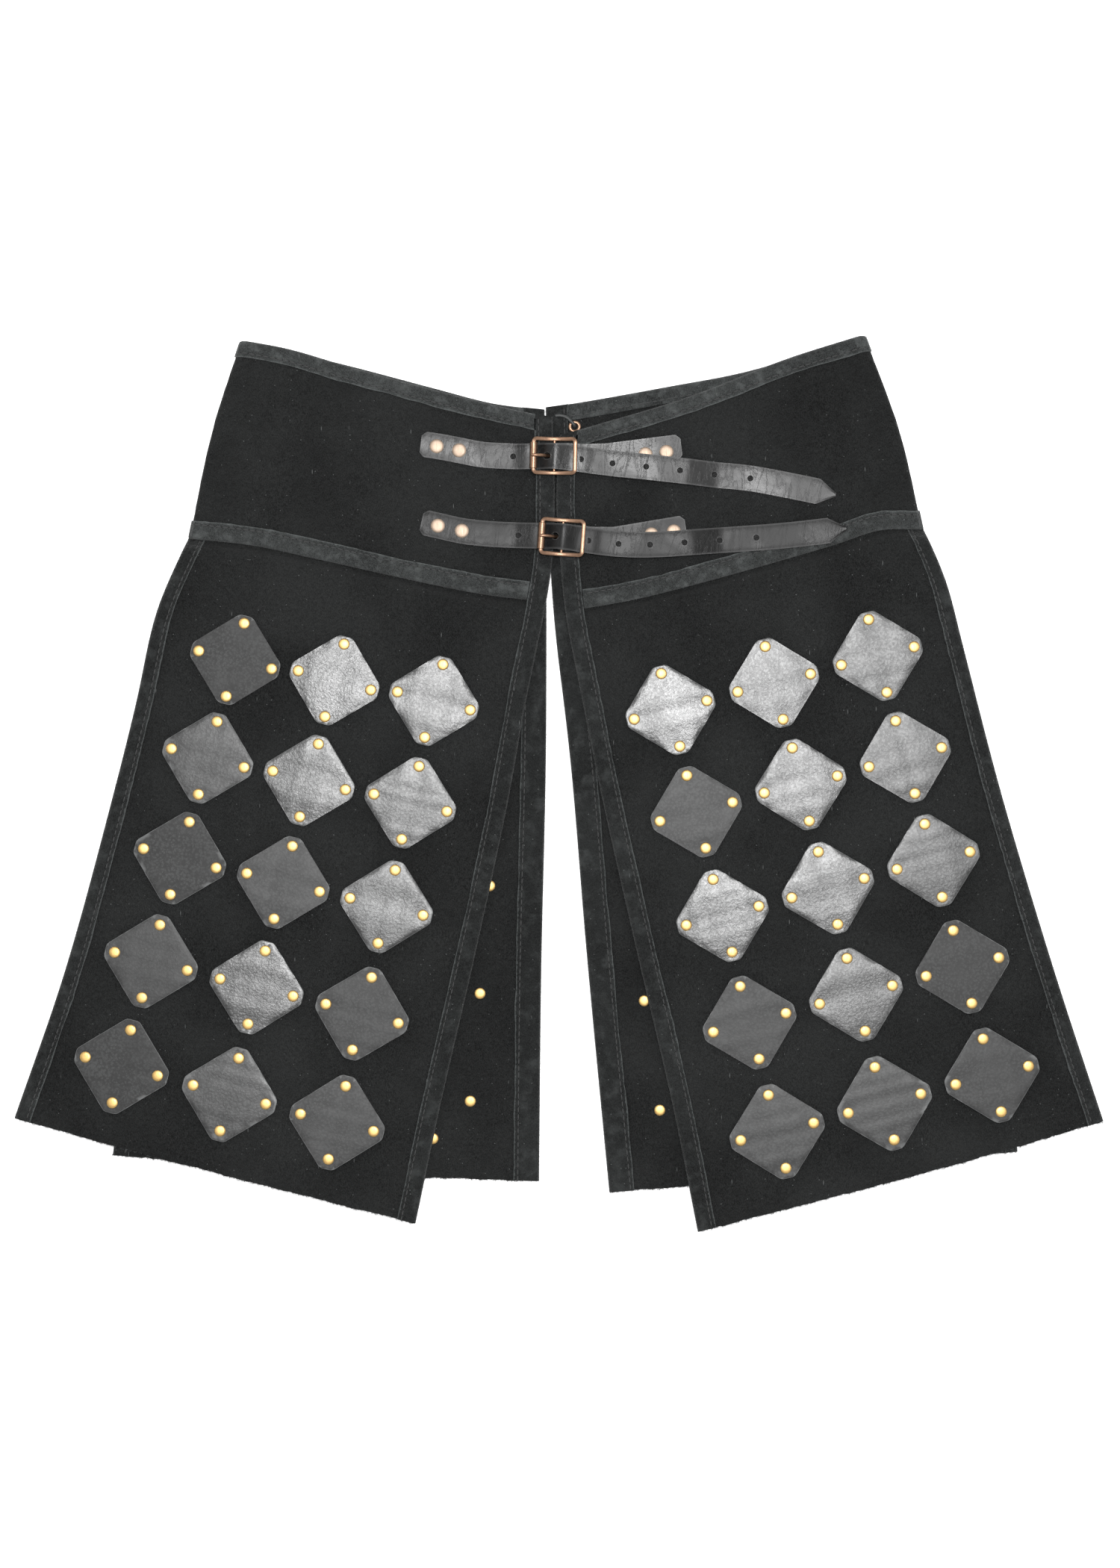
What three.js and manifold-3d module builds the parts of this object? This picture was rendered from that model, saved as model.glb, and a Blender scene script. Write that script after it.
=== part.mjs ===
// A suede armour skirt of two halves, laid flat: a waistband that folds at each side, a front and a
// back panel on each half, leather plates riveted to the panels, two buckled straps over the front
// opening and a lace at the centre back. Millimetres, +Z up, +X the skirt's right as it is seen,
// +Y towards the waist. The origin is on the surface it lies on, under the middle of its box.

import * as THREE from 'three';
import * as BufferGeometryUtils from 'three/addons/utils/BufferGeometryUtils.js';
import Module from 'manifold-3d';

const wasm = await Module();
wasm.setup();

// ---- thicknesses and levels ----
const CLOTH = 1.5;                        // suede of the waistband and the panels
const TAPE = 1.0;                         // suede binding tape
const GAP = 0.3;                          // air between two pieces
const OVER_TAPE = GAP + TAPE;             // how far a tape stands off the cloth it binds
const PLATE = 2.8;                        // plate leather
const RIVET_HEIGHT = 0.9;                 // a rivet cap above its plate
const BACK_WALL = OVER_TAPE;              // underside of the waistband's back wall
const FRONT_WALL = 6.7;                   // underside of the waistband's front wall
const BACK_PANEL = PLATE + RIVET_HEIGHT;  // underside of a back panel, held up by its plates
const FRONT_PANEL = 8.4;                  // underside of a front panel where it lies on a back one
const SIDE_SLOPE = 0.1;                   // fall of a front panel past the back panel's side edge
const FOLD_HEIGHT = (FRONT_WALL + BACK_WALL + CLOTH) / 2;
const FOLD_INSIDE = FOLD_HEIGHT - BACK_WALL - CLOTH;

// ---- widths ----
const TOP_TAPE = 11;                      // binding round the waist's top edge
const LOW_TAPE = 12.5;                    // band round the waist's lower edge
const LOW_TAPE_INSIDE = 6;
const EDGE_TAPE = 12.5;                   // binding down the front opening
const SIDE_TAPE = 11;                     // binding down a panel's outer edge
const BACK_TAPE = 17;                     // binding down the centre back, inner face
const HIDDEN_LEG = 7;                     // a binding's leg on the face that doesn't show
const BACK_TAPE_AT_WAIST = 14.5;          // trimmed there to clear the eyelet
const TAPE_MEETING = 1.8;                 // the waist's tapes stop this far short of the long tapes
const PANEL_DROP = 1;                     // a panel starts this far below the waistband

// ---- plates ----
const PLATE_SIDE = 49;
const PLATE_GROWTH = 0.0125;              // each row is this much larger than the one above
const PLATE_CORNER = 6.2;                 // cut off each corner
const PLATE_RIVET_REACH = 25;             // plate centre to rivet
const PLATE_TURN = 14;                    // degrees off standing on a corner
const BRASS_RIVET = 3.9;                  // radius
const ROWS = 5;
const COLUMNS = 3;
const ROW_BOW = 0.012;                    // upper rows on the front sit a little closer together
const PLATE_REACH = 0.66;                 // plate centre to its far corners, in plate sides
const PANEL_REACH = 20;                   // a plate's tilt is read this far either side of its centre

// ---- straps and buckles ----
const STRAP = 1.5;
const STRAP_HALF = 8.5;
const STRAP_HOLE = 2;
const COPPER_CAP = 4.75;
const COPPER_HEIGHT = 1.0;
const FRAME_LENGTH = 27.7;                // between the middles of the end bars
const FRAME_WIDTH = 22.6;                 // between the middles of the side bars
const FRAME_CORNER = 2;
const FRAME_WIRE = 1.4;
const BAR = 1.1;                          // radius of the centre bar
const ROLLER = 2.5;
const ROLLER_LENGTH = 17.6;
const TONGUE = 1.0;
const ON_WALL = FRONT_WALL + CLOTH + GAP;           // what lies on the front wall starts here
const ON_TAPE = ON_WALL + TAPE + GAP;               // and what lies on the tapes
const BAR_LEVEL = ON_TAPE + STRAP + GAP + BAR;      // middle of the centre bar
const FOLD_OVER_BAR = BAR + GAP + STRAP;            // outer radius of the strap round the bar
const FRAME_LEVEL = 17.0;                           // middle of the end bars

// ---- lace and eyelet ----
const EYELET_CENTRE = [9.8, 239];
const EYELET_HOLE = 2.1;
const EYELET_BARREL = 2.7;
const EYELET_FLANGE = 4.2;
const LACE = 1.1;

// ---- outlines of the two halves, inner edge to outer edge or top to bottom ----
const HALVES = {
  left: {
    out: -1,
    waistTop: [[-5, 245], [-29, 249.5], [-85, 263], [-145, 279], [-185, 290.5], [-214.5, 296]],
    waistLow: [[-9, 121.5], [-55, 127], [-165, 150], [-208, 159], [-249, 163.5]],
    waistFront: [[-5, 245], [-3.5, 190], [-5, 150], [-9, 121.5]],
    fold: [[-214.5, 296], [-234, 235], [-249, 163.5]],
    backTop: [[-10.4, 250.5], [-45, 254.5], [-85, 264.5], [-145, 280], [-214.5, 296]],
    backLow: [[-9, 106], [-120, 132], [-249, 163.5]],
    backEdge: [[-10.4, 250.5], [-9, 106]],
    frontHem: [[-96.5, -293.5], [-225, -261], [-365, -223.5]],
    frontInner: [[-9, 121.5], [-23, 54], [-35, -13], [-58, -120], [-80, -215], [-96.5, -293.5]],
    frontOuter: [[-249, 163.5], [-269.5, 115], [-283, 55], [-298, -5], [-331, -125], [-365, -223.5]],
    backHem: [[-14, -265.5], [-160, -260], [-299, -248]],
    backInner: [[-9, 106], [-9.5, 10], [-12.5, -125], [-14, -265.5]],
    backOuter: [[-249, 163.5], [-299, -248]],
    plates: [[-84.2, 55.4], [-216.6, 82.8], [-148.7, -225.8], [-292.2, -188.3]],
    backPlates: [[-59, 76], [-199, 86], [-85, -212], [-229, -206]],
    backTurn: 0,
  },
  right: {
    out: 1,
    waistTop: [[0, 233], [25, 240], [86, 258], [155, 284], [205, 299.5]],
    waistLow: [[3, 115], [55, 124], [185, 159], [218, 169.5], [243.5, 170]],
    waistFront: [[0, 233], [-2.6, 190], [0, 150], [3, 115]],
    fold: [[205, 299.5], [228.5, 235], [243.5, 170]],
    backTop: [[-9.5, 252], [15, 255.5], [75, 266], [130, 276.5], [205, 299.5]],
    backLow: [[-3, 100], [115, 138], [243.5, 170]],
    backEdge: [[-9.5, 252], [-6, 140], [-3, 100]],
    frontHem: [[92, -299], [235, -262], [363.5, -225.5]],
    frontInner: [[3, 115], [12, 70], [28, -9], [52, -115], [76, -218], [92, -299]],
    frontOuter: [[243.5, 170], [258, 135], [268.5, 95], [294.5, -5], [330.5, -125], [363.5, -225.5]],
    backHem: [[33, -273], [165, -262], [306, -245.5]],
    backInner: [[-3, 100], [7, 15], [18, -115], [33, -273]],
    backOuter: [[243.5, 170], [306, -245.5]],
    plates: [[73.7, 49.4], [211.9, 85.4], [144.8, -231.8], [288, -194.2]],
    backPlates: [[50, 71], [188, 92], [91.5, -221.5], [235, -203]],
    backTurn: -8,
  },
};

// ---- strap routes: middle lines seen from above, buckle first ----
const STRAPS = {
  upper: {
    buckle: [-3.8, 218.7],
    turn: -1,
    route: [[-93, 227], [-82, 225.5], [-67, 222.7], [-52.5, 220], [-31, 218.7], [-3.8, 218.5],
      [13, 216.5], [35, 213.7], [57, 211.5], [103, 206.4], [127, 204], [184, 193]],
    rivets: [[-82.3, 225.4], [-67.3, 222.7]],
    holes: [[-31.3, 218.6], [14, 216.4], [35, 213.7], [57.4, 211.5], [80, 209], [103, 206.4], [127, 204]],
    shortEnd: [81, 225],
    shortRivets: [[71, 221.5], [57, 220]],
    restLevel: ON_WALL,
  },
  lower: {
    buckle: [1.5, 164.5],
    turn: -4,
    route: [[-92.5, 175], [-81.5, 172.5], [-65.5, 169], [-48, 167], [-27.8, 166], [1.5, 165],
      [17.5, 162.5], [39, 160], [60, 159.5], [106, 162.5], [152, 166], [191, 170.5]],
    rivets: [[-81.5, 172.4], [-65.5, 169]],
    holes: [[-27.8, 165.9], [19, 162.2], [39, 160], [60, 159.5], [83, 161], [106.5, 162.5], [131, 164.4]],
    shortEnd: [84, 171],
    shortRivets: [[76, 168.5], [61, 166.5]],
    restLevel: ON_TAPE,
  },
};

// ---- finishes ----
const finish = (color, roughness, metalness = 0) => () =>
  new THREE.MeshStandardMaterial({ color, roughness, metalness });
const suede = finish(0x1c1d1e, 0.95);
const suedeTape = finish(0x2c3030, 0.9);
const plateLeather = finish(0x3a3c3e, 0.5);
const strapLeather = finish(0x2a2a2b, 0.35);
const copper = finish(0xb98d6c, 0.35, 1);
const brass = finish(0xd8b36a, 0.3, 1);

const group = new THREE.Group();

function addPiece(name, geometry, material) {
  const mesh = new THREE.Mesh(geometry, material());
  mesh.name = name;
  group.add(mesh);
}

// ---- geometry helpers ----

// Turns every face round if the closed surface encloses a negative volume.
function facingOut(positions, triangles) {
  let volume = 0;
  const [a, b, c] = [new THREE.Vector3(), new THREE.Vector3(), new THREE.Vector3()];
  for (let i = 0; i < triangles.length; i += 3) {
    a.fromArray(positions, triangles[i] * 3);
    b.fromArray(positions, triangles[i + 1] * 3);
    c.fromArray(positions, triangles[i + 2] * 3);
    volume += a.dot(b.cross(c));
  }
  if (volume < 0) {
    triangles.reverse();
  }
  const geometry = new THREE.BufferGeometry();
  geometry.setAttribute('position', new THREE.Float32BufferAttribute(positions, 3));
  geometry.setIndex(triangles);
  return geometry;
}

// A closed wall between two like grids of points, joined all round their borders.
function wall(outside, inside) {
  const rows = outside.length;
  const columns = outside[0].length;
  const positions = [...outside, ...inside].flat().flatMap((p) => [p.x, p.y, p.z]);
  const out = (r, c) => r * columns + c;
  const inn = (r, c) => (rows + r) * columns + c;
  const triangles = [];
  const quad = (a, b, c, d) => triangles.push(a, b, c, a, c, d);
  for (let r = 0; r < rows - 1; r += 1) {
    for (let c = 0; c < columns - 1; c += 1) {
      quad(out(r, c), out(r, c + 1), out(r + 1, c + 1), out(r + 1, c));
      triangles.push(inn(r, c), inn(r + 1, c + 1), inn(r, c + 1));
      triangles.push(inn(r, c), inn(r + 1, c), inn(r + 1, c + 1));
    }
    quad(inn(r, 0), out(r, 0), out(r + 1, 0), inn(r + 1, 0));
    quad(out(r, columns - 1), inn(r, columns - 1), inn(r + 1, columns - 1), out(r + 1, columns - 1));
  }
  for (let c = 0; c < columns - 1; c += 1) {
    quad(out(0, c + 1), out(0, c), inn(0, c), inn(0, c + 1));
    quad(out(rows - 1, c), out(rows - 1, c + 1), inn(rows - 1, c + 1), inn(rows - 1, c));
  }
  return facingOut(positions, triangles);
}

function toSolid(geometry) {
  const bare = geometry.clone();
  bare.deleteAttribute('normal');
  bare.deleteAttribute('uv');
  const merged = BufferGeometryUtils.mergeVertices(bare, 1e-4);
  return new wasm.Manifold(new wasm.Mesh({
    numProp: 3,
    vertProperties: new Float32Array(merged.attributes.position.array),
    triVerts: new Uint32Array(merged.index.array),
  }));
}

function fromSolid(solid) {
  const mesh = solid.getMesh();
  const geometry = new THREE.BufferGeometry();
  geometry.setAttribute('position', new THREE.Float32BufferAttribute(mesh.vertProperties, 3));
  geometry.setIndex(Array.from(mesh.triVerts));
  return geometry;
}

const evenly = (from, to, steps) =>
  Array.from({ length: steps + 1 }, (_, i) => from + ((to - from) * i) / steps);

function smoothLine(points) {
  const curve = new THREE.CatmullRomCurve3(
    points.map(([x, y, z = 0]) => new THREE.Vector3(x, y, z)), false, 'centripetal');
  return (t) => curve.getPointAt(Math.min(1, Math.max(0, t)));
}

// A patch between four edge lines. u runs from the inner to the outer edge, v from top to bottom.
function patch(top, bottom, inner, outer) {
  return (u, v) => {
    const point = top(u).multiplyScalar(1 - v).addScaledVector(bottom(u), v);
    point.addScaledVector(inner(v), 1 - u).addScaledVector(outer(v), u);
    point.addScaledVector(inner(0), -(1 - u) * (1 - v)).addScaledVector(outer(0), -u * (1 - v));
    point.addScaledVector(inner(1), -(1 - u) * v).addScaledVector(outer(1), -u * v);
    return point;
  };
}

const raised = (point, z) => new THREE.Vector3(point.x, point.y, z);

// An upright prism over an outline given from above.
function prism(outline, bottom, top) {
  const shape = new THREE.Shape(outline.map(([x, y]) => new THREE.Vector2(x, y)));
  const geometry = new THREE.ExtrudeGeometry(shape, { depth: top - bottom, bevelEnabled: false });
  return geometry.translate(0, 0, bottom);
}

function disc(x, y, radius, bottom, top, sides) {
  const outline = evenly(0, 2 * Math.PI, sides).slice(0, sides)
    .map((angle) => [x + radius * Math.cos(angle), y + radius * Math.sin(angle)]);
  return prism(outline, bottom, top);
}

// ---- the waistband: front wall, side fold and back wall in one piece ----
// s runs 0 to 1 over the front, 1 to 2 round the fold and 2 to 3 over the back. w is the distance
// from the top edge, or from the lower edge where it is negative, and n the distance off the inner face.
function waistSurface(half) {
  const foldRoom = half.out * (FOLD_INSIDE + CLOTH + OVER_TAPE);
  const drawnIn = (points) => {
    const line = smoothLine(points);
    return (u) => line(u).sub(new THREE.Vector3(foldRoom * u, 0, 0));
  };
  const foldLine = smoothLine(half.fold);
  const foldMiddle = (v) => foldLine(v).sub(new THREE.Vector3(foldRoom, 0, 0));
  const front = patch(drawnIn(half.waistTop), drawnIn(half.waistLow),
    smoothLine(half.waistFront), foldMiddle);
  const back = patch(drawnIn(half.backTop), drawnIn(half.backLow), smoothLine(half.backEdge), foldMiddle);
  const flat = (s, v) => {
    if (s <= 1) {
      return front(s, v);
    }
    return s >= 2 ? back(3 - s, v) : foldMiddle(v);
  };
  const place = (s, v, n) => {
    const point = flat(s, v);
    if (s <= 1) {
      return raised(point, FRONT_WALL + n);
    }
    if (s >= 2) {
      return raised(point, BACK_WALL + CLOTH - n);
    }
    const angle = (s - 1) * Math.PI;
    const radius = FOLD_INSIDE + n;
    point.x += half.out * radius * Math.sin(angle);
    return raised(point, FOLD_HEIGHT + radius * Math.cos(angle));
  };
  const across = (s, w) => {
    const height = flat(s, 0).distanceTo(flat(s, 1));
    return w >= 0 ? w / height : 1 + w / height;
  };
  return {
    front,
    back,
    at: (s, w, n) => place(s, across(s, w), n),
    alongFront: (mm) => mm / front(0, 0.5).distanceTo(front(1, 0.5)),
    alongBack: (mm) => 3 - mm / back(0, 0.5).distanceTo(back(1, 0.5)),
  };
}

// Stations round the waistband, from where the opening's tape ends to where the centre back's begins.
function aroundWaist(surface) {
  const start = surface.alongFront(EDGE_TAPE + TAPE_MEETING);
  const end = surface.alongBack(BACK_TAPE + TAPE_MEETING);
  return [...evenly(start, 1, 8), ...evenly(1, 2, 6).slice(1), ...evenly(2, end, 8).slice(1)];
}

const WAIST_DEPTHS = [45, 78];             // rows of the wall between its two tapes

function waistWall(surface) {
  const edge = OVER_TAPE;
  const depths = [edge, TOP_TAPE, ...WAIST_DEPTHS, -LOW_TAPE, -edge];
  const stations = [surface.alongFront(edge), ...aroundWaist(surface), surface.alongBack(edge)];
  const column = (s, n) => depths.map((w) => surface.at(s, w, n));
  return wall(stations.map((s) => column(s, CLOTH)), stations.map((s) => column(s, 0)));
}

// A tape folded over an edge of the waistband. sign is 1 at the top edge and -1 at the lower one.
function waistTape(surface, sign, outerLeg, innerLeg) {
  const zero = sign * 1e-9;
  const skin = [[sign * outerLeg, CLOTH + OVER_TAPE], [zero, CLOTH + OVER_TAPE],
    [zero, -OVER_TAPE], [sign * innerLeg, -OVER_TAPE]];
  const lining = [[sign * outerLeg, CLOTH + GAP], [sign * TAPE, CLOTH + GAP],
    [sign * TAPE, -GAP], [sign * innerLeg, -GAP]];
  const stations = aroundWaist(surface);
  const layer = (section) => stations.map((s) => section.map(([w, n]) => surface.at(s, w, n)));
  return wall(layer(skin), layer(lining));
}

// ---- the panels ----
function panelPatch(topEdge, hem, inner, outer) {
  const lowered = (points) => points.map(([x, y]) => [x, y - PANEL_DROP]);
  const firstLowered = (points) => [lowered(points.slice(0, 1))[0], ...points.slice(1)];
  const flat = patch(smoothLine(lowered(topEdge)), smoothLine(hem),
    smoothLine(firstLowered(inner)), smoothLine(firstLowered(outer)));
  const width = (v) => flat(0, v).distanceTo(flat(1, v));
  return {
    flat,
    fromInner: (mm, v) => flat(mm / width(v), v),
    fromOuter: (mm, v) => flat(1 - mm / width(v), v),
    row: (margin, tapeIn, tapeOut, steps, v) => {
      const full = width(v);
      const inside = evenly(tapeIn / full, 1 - tapeOut / full, steps);
      return [margin / full, ...inside, 1 - margin / full].map((u) => flat(u, v));
    },
  };
}

const PANEL_STATIONS = [0, 0.008, 0.018, ...evenly(0.1, 1, 9)];

// Underside of a front panel: level over the back panel, then falling towards its own side edge.
function frontLevel(half) {
  const [top, hem] = half.backOuter;
  return (point) => {
    const along = (top[1] - point.y) / (top[1] - hem[1]);
    const backEdge = Math.abs(top[0] + (hem[0] - top[0]) * along);
    return FRONT_PANEL - SIDE_SLOPE * Math.max(0, Math.abs(point.x) - backEdge - 2);
  };
}

function frontCloth(panel, level) {
  const rows = PANEL_STATIONS.map((v) => panel.row(OVER_TAPE, EDGE_TAPE, SIDE_TAPE, 8, v));
  const layer = (n) => rows.map((row) => row.map((p) => raised(p, level(p) + n)));
  return wall(layer(CLOTH), layer(0));
}

// A tape folded over an edge, as a wall whose section is a U laid on its side. Each station gives
// the place at a distance in from the edge, and the under and upper face of the cloth there.
function edgeTape(stations, upperLeg, underLeg, clear = GAP) {
  const stand = clear + TAPE;
  const layer = (section) => stations.map((station) => section.map(([w, up, n]) => {
    const point = station.place(Math.min(w, station.widest ?? upperLeg));
    return raised(point, (up ? station.upper(point) : station.under(point)) + n);
  }));
  const skin = [[upperLeg, true, OVER_TAPE], [0, true, OVER_TAPE], [0, false, -stand],
    [underLeg, false, -stand]];
  const lining = [[upperLeg, true, GAP], [TAPE, true, GAP], [TAPE, false, -clear],
    [underLeg, false, -clear]];
  return wall(layer(skin), layer(lining));
}

// The tape that runs down the opening in one length, over the waistband's end and the panel's edge.
function longTape(waist, panel, wallLevel, panelLevel, upperLeg, underLeg) {
  const widest = Math.min(upperLeg, BACK_TAPE_AT_WAIST);
  const fixed = (place, under, upper) => ({ place, under: () => under, upper: () => upper });
  const height = waist(0, 0).distanceTo(waist(0, 1));
  const onWaist = (v) => (w) => waist(w / waist(0, v).distanceTo(waist(1, v)), v);
  const onPanel = (v) => (w) => panel.fromInner(w, v);
  const joint = [Math.min(wallLevel, panelLevel), Math.max(wallLevel, panelLevel) + CLOTH];
  const stations = [0, 0.2, 0.4, 0.6, 0.8, 1 - 6 / height]
    .map((v) => ({ ...fixed(onWaist(v), wallLevel, wallLevel + CLOTH), widest }));
  stations.push(fixed(onWaist(1 - 3 / height), ...joint));
  stations.push(fixed(onPanel(PANEL_STATIONS[1]), ...joint));
  PANEL_STATIONS.slice(2).forEach((v) => {
    stations.push(fixed(onPanel(v), panelLevel, panelLevel + CLOTH));
  });
  return edgeTape(stations, upperLeg, underLeg);
}

function sideTape(panel, level, upperLeg, underLeg) {
  const clear = 2 * GAP;
  const stations = PANEL_STATIONS.map((v) => ({
    place: (w) => panel.fromOuter(w, v),
    under: level,
    upper: (point) => level(point) + CLOTH,
  }));
  return edgeTape(stations, upperLeg, underLeg, clear);
}

// ---- plates ----
function latticeCentre(corners, row, column, bow) {
  const down = row / (ROWS - 1) - bow * Math.sin((Math.PI * row) / (ROWS - 1));
  const across = column / (COLUMNS - 1);
  const [a, b, c, d] = corners.map(([x, y]) => new THREE.Vector2(x, y));
  return a.lerp(b, across).lerp(c.lerp(d, across), down);
}

function plateOutline(row) {
  const half = (PLATE_SIDE * (1 + PLATE_GROWTH * row)) / 2;
  const short = half - PLATE_CORNER;
  return [[half, short], [short, half], [-short, half], [-half, short],
    [-half, -short], [-short, -half], [short, -half], [half, -short]];
}

// A plate with its four rivet caps, standing on a corner, its underside at z = 0.
function plateSolid(row) {
  let solid = toSolid(prism(plateOutline(row), 0, PLATE));
  const reach = PLATE_RIVET_REACH / Math.SQRT2;
  [[1, 1], [-1, 1], [-1, -1], [1, -1]].forEach(([x, y]) => {
    const cap = disc(x * reach, y * reach, BRASS_RIVET, PLATE - GAP, PLATE + RIVET_HEIGHT, 6);
    solid = solid.add(toSolid(cap));
  });
  return fromSolid(solid);
}

// Lays a plate on the panel: tilted as the panel is under it and raised until all of it is clear.
function frontPlate(row, centre, half, level) {
  const geometry = plateSolid(row).rotateZ(THREE.MathUtils.degToRad(45 + half.out * PLATE_TURN));
  const clothAt = (dx, dy) => level({ x: centre.x + dx, y: centre.y + dy }) + CLOTH;
  const tilt = (clothAt(PANEL_REACH, 0) - clothAt(-PANEL_REACH, 0)) / (2 * PANEL_REACH);
  const offsets = evenly(-PLATE_SIDE * PLATE_REACH, PLATE_SIDE * PLATE_REACH, 12);
  const clear = Math.max(...offsets.flatMap((dx) => offsets.map((dy) => clothAt(dx, dy) - tilt * dx)));
  geometry.rotateY(-Math.atan(tilt));
  return geometry.translate(centre.x, centre.y, clear + GAP);
}

// A back panel with the plates on its outer face, which is the one it lies on.
function backCloth(panel, half) {
  const grid = PANEL_STATIONS.map((v) => panel.row(OVER_TAPE, BACK_TAPE, SIDE_TAPE, 3, v));
  const layer = (z) => grid.map((row) => row.map((p) => raised(p, z)));
  let solid = toSolid(wall(layer(BACK_PANEL + CLOTH), layer(BACK_PANEL)));
  for (let row = 0; row < ROWS; row += 1) {
    for (let column = 0; column < COLUMNS; column += 1) {
      const centre = latticeCentre(half.backPlates, row, column, 0);
      const plate = prism(plateOutline(row), 0, BACK_PANEL + GAP);
      plate.rotateZ(THREE.MathUtils.degToRad(45 + half.backTurn)).translate(centre.x, centre.y, 0);
      solid = solid.add(toSolid(plate));
    }
  }
  return fromSolid(solid);
}

// ---- the two halves ----
Object.entries(HALVES).forEach(([side, half]) => {
  const surface = waistSurface(half);
  const level = frontLevel(half);
  const front = panelPatch(half.waistLow, half.frontHem, half.frontInner, half.frontOuter);
  const back = panelPatch(half.backLow, half.backHem, half.backInner, half.backOuter);
  let waist = waistWall(surface);
  if (side === 'right') {
    const [x, y] = EYELET_CENTRE;
    const hole = disc(x, y, EYELET_BARREL + GAP, -1, FRONT_WALL - 1, 12);
    waist = fromSolid(toSolid(waist).subtract(toSolid(hole)));
  }
  addPiece(`waistband_${side}`, waist, suede);
  addPiece(`waist_top_binding_${side}`, waistTape(surface, 1, TOP_TAPE, TOP_TAPE), suedeTape);
  addPiece(`waist_lower_band_${side}`, waistTape(surface, -1, LOW_TAPE, LOW_TAPE_INSIDE), suedeTape);
  addPiece(`front_panel_${side}`, frontCloth(front, level), suede);
  addPiece(`back_panel_${side}`, backCloth(back, half), suede);
  addPiece(`front_edge_binding_${side}`,
    longTape(surface.front, front, FRONT_WALL, FRONT_PANEL, EDGE_TAPE, HIDDEN_LEG), suedeTape);
  addPiece(`back_edge_binding_${side}`,
    longTape(surface.back, back, BACK_WALL, BACK_PANEL, BACK_TAPE, HIDDEN_LEG), suedeTape);
  addPiece(`front_side_binding_${side}`, sideTape(front, level, SIDE_TAPE, HIDDEN_LEG), suedeTape);
  addPiece(`back_side_binding_${side}`, sideTape(back, () => BACK_PANEL, SIDE_TAPE, HIDDEN_LEG), suedeTape);
  for (let row = 0; row < ROWS; row += 1) {
    for (let column = 0; column < COLUMNS; column += 1) {
      const centre = latticeCentre(half.plates, row, column, ROW_BOW);
      addPiece(`plate_${side}_${row + 1}_${column + 1}`, frontPlate(row, centre, half, level), plateLeather);
    }
  }
});

// ---- straps ----

// A flat band along a route. side gives the direction across it, reach its half width there.
function ribbon(route, side, reach, thickness) {
  const last = route.length - 1;
  const rows = route.map((point, i) => {
    const tangent = route[Math.min(last, i + 1)].clone().sub(route[Math.max(0, i - 1)]).normalize();
    const across = side(i, tangent);
    const up = tangent.clone().cross(across).normalize().multiplyScalar(thickness);
    const edge = across.multiplyScalar(reach[i]);
    return { edges: [point.clone().add(edge), point.clone().sub(edge)], up };
  });
  const under = rows.map((row) => row.edges);
  const upper = rows.map((row) => row.edges.map((p) => p.clone().add(row.up)));
  return wall(upper, under);
}

const cap = ([x, y], level) =>
  toSolid(disc(x, y, COPPER_CAP, level + STRAP - GAP, level + STRAP + COPPER_HEIGHT, 10));

// Height of a long strap's underside at a distance x from the centre bar. It lies on the left half,
// climbs over the opening's tapes, arches over the bar, runs over the short strap's fold and then over
// its rivets, and comes down to rest past its end.
function longStrapLevel(x, strap) {
  const shortEnd = strap.shortEnd[0] - strap.buckle[0];
  const overBar = BAR_LEVEL + FOLD_OVER_BAR + GAP;
  const overFold = ON_TAPE + 2 * STRAP + 3 * GAP;
  const overRivets = ON_TAPE + STRAP + COPPER_HEIGHT + 2 * GAP;
  const steps = [[-200, ON_WALL], [-29.8 - strap.buckle[0], ON_WALL], [-19, ON_TAPE], [-11.2, ON_TAPE],
    [-1.5, overBar], [1.5, overBar], [10, overFold], [20, overFold], [26, overRivets],
    [shortEnd + 4, overRivets], [shortEnd + 24, strap.restLevel], [300, strap.restLevel]];
  const next = steps.findIndex(([at]) => at > x);
  const [[x0, z0], [x1, z1]] = [steps[next - 1], steps[next]];
  return z0 + ((z1 - z0) * (x - x0)) / (x1 - x0);
}

function longStrap(strap) {
  const seenFromAbove = smoothLine(strap.route);
  const [start, tip] = [strap.route[0][0], strap.route.at(-1)[0]];
  const bar = strap.buckle[0];
  const breaks = [-26, -19, -11.2, -6.5, -1.5, 1.5, 5.5, 10, 20, 26].map((x) => bar + x);
  const shortEnd = strap.shortEnd[0];
  const xs = [start, start + 3, -65, -45, ...breaks, 45, 65, shortEnd + 4, shortEnd + 14, shortEnd + 24,
    125, 150, tip - 12, tip];
  const atX = (x) => {
    let [low, high] = [0, 1];
    for (let i = 0; i < 30; i += 1) {
      const middle = (low + high) / 2;
      [low, high] = seenFromAbove(middle).x < x ? [middle, high] : [low, middle];
    }
    return seenFromAbove(low);
  };
  const route = xs.map((x) => raised(atX(x), longStrapLevel(x - bar, strap)));
  const reach = xs.map(() => STRAP_HALF);
  reach[0] = STRAP_HALF - 3;
  reach[xs.length - 1] = 1;
  const side = (i, tangent) => new THREE.Vector3(-tangent.y, tangent.x, 0).normalize();
  let solid = toSolid(ribbon(route, side, reach, STRAP));
  const tongueHole = [bar - 4.8, atX(bar - 4.8).y];
  strap.holes.forEach(([x, y]) => {
    solid = solid.subtract(toSolid(disc(x, y, STRAP_HOLE, 0, 30, 8)));
  });
  solid = solid.subtract(toSolid(disc(...tongueHole, STRAP_HOLE + 0.4, 0, 30, 10)));
  strap.rivets.forEach((place) => {
    solid = solid.add(cap(place, ON_WALL));
  });
  return fromSolid(solid);
}

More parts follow.
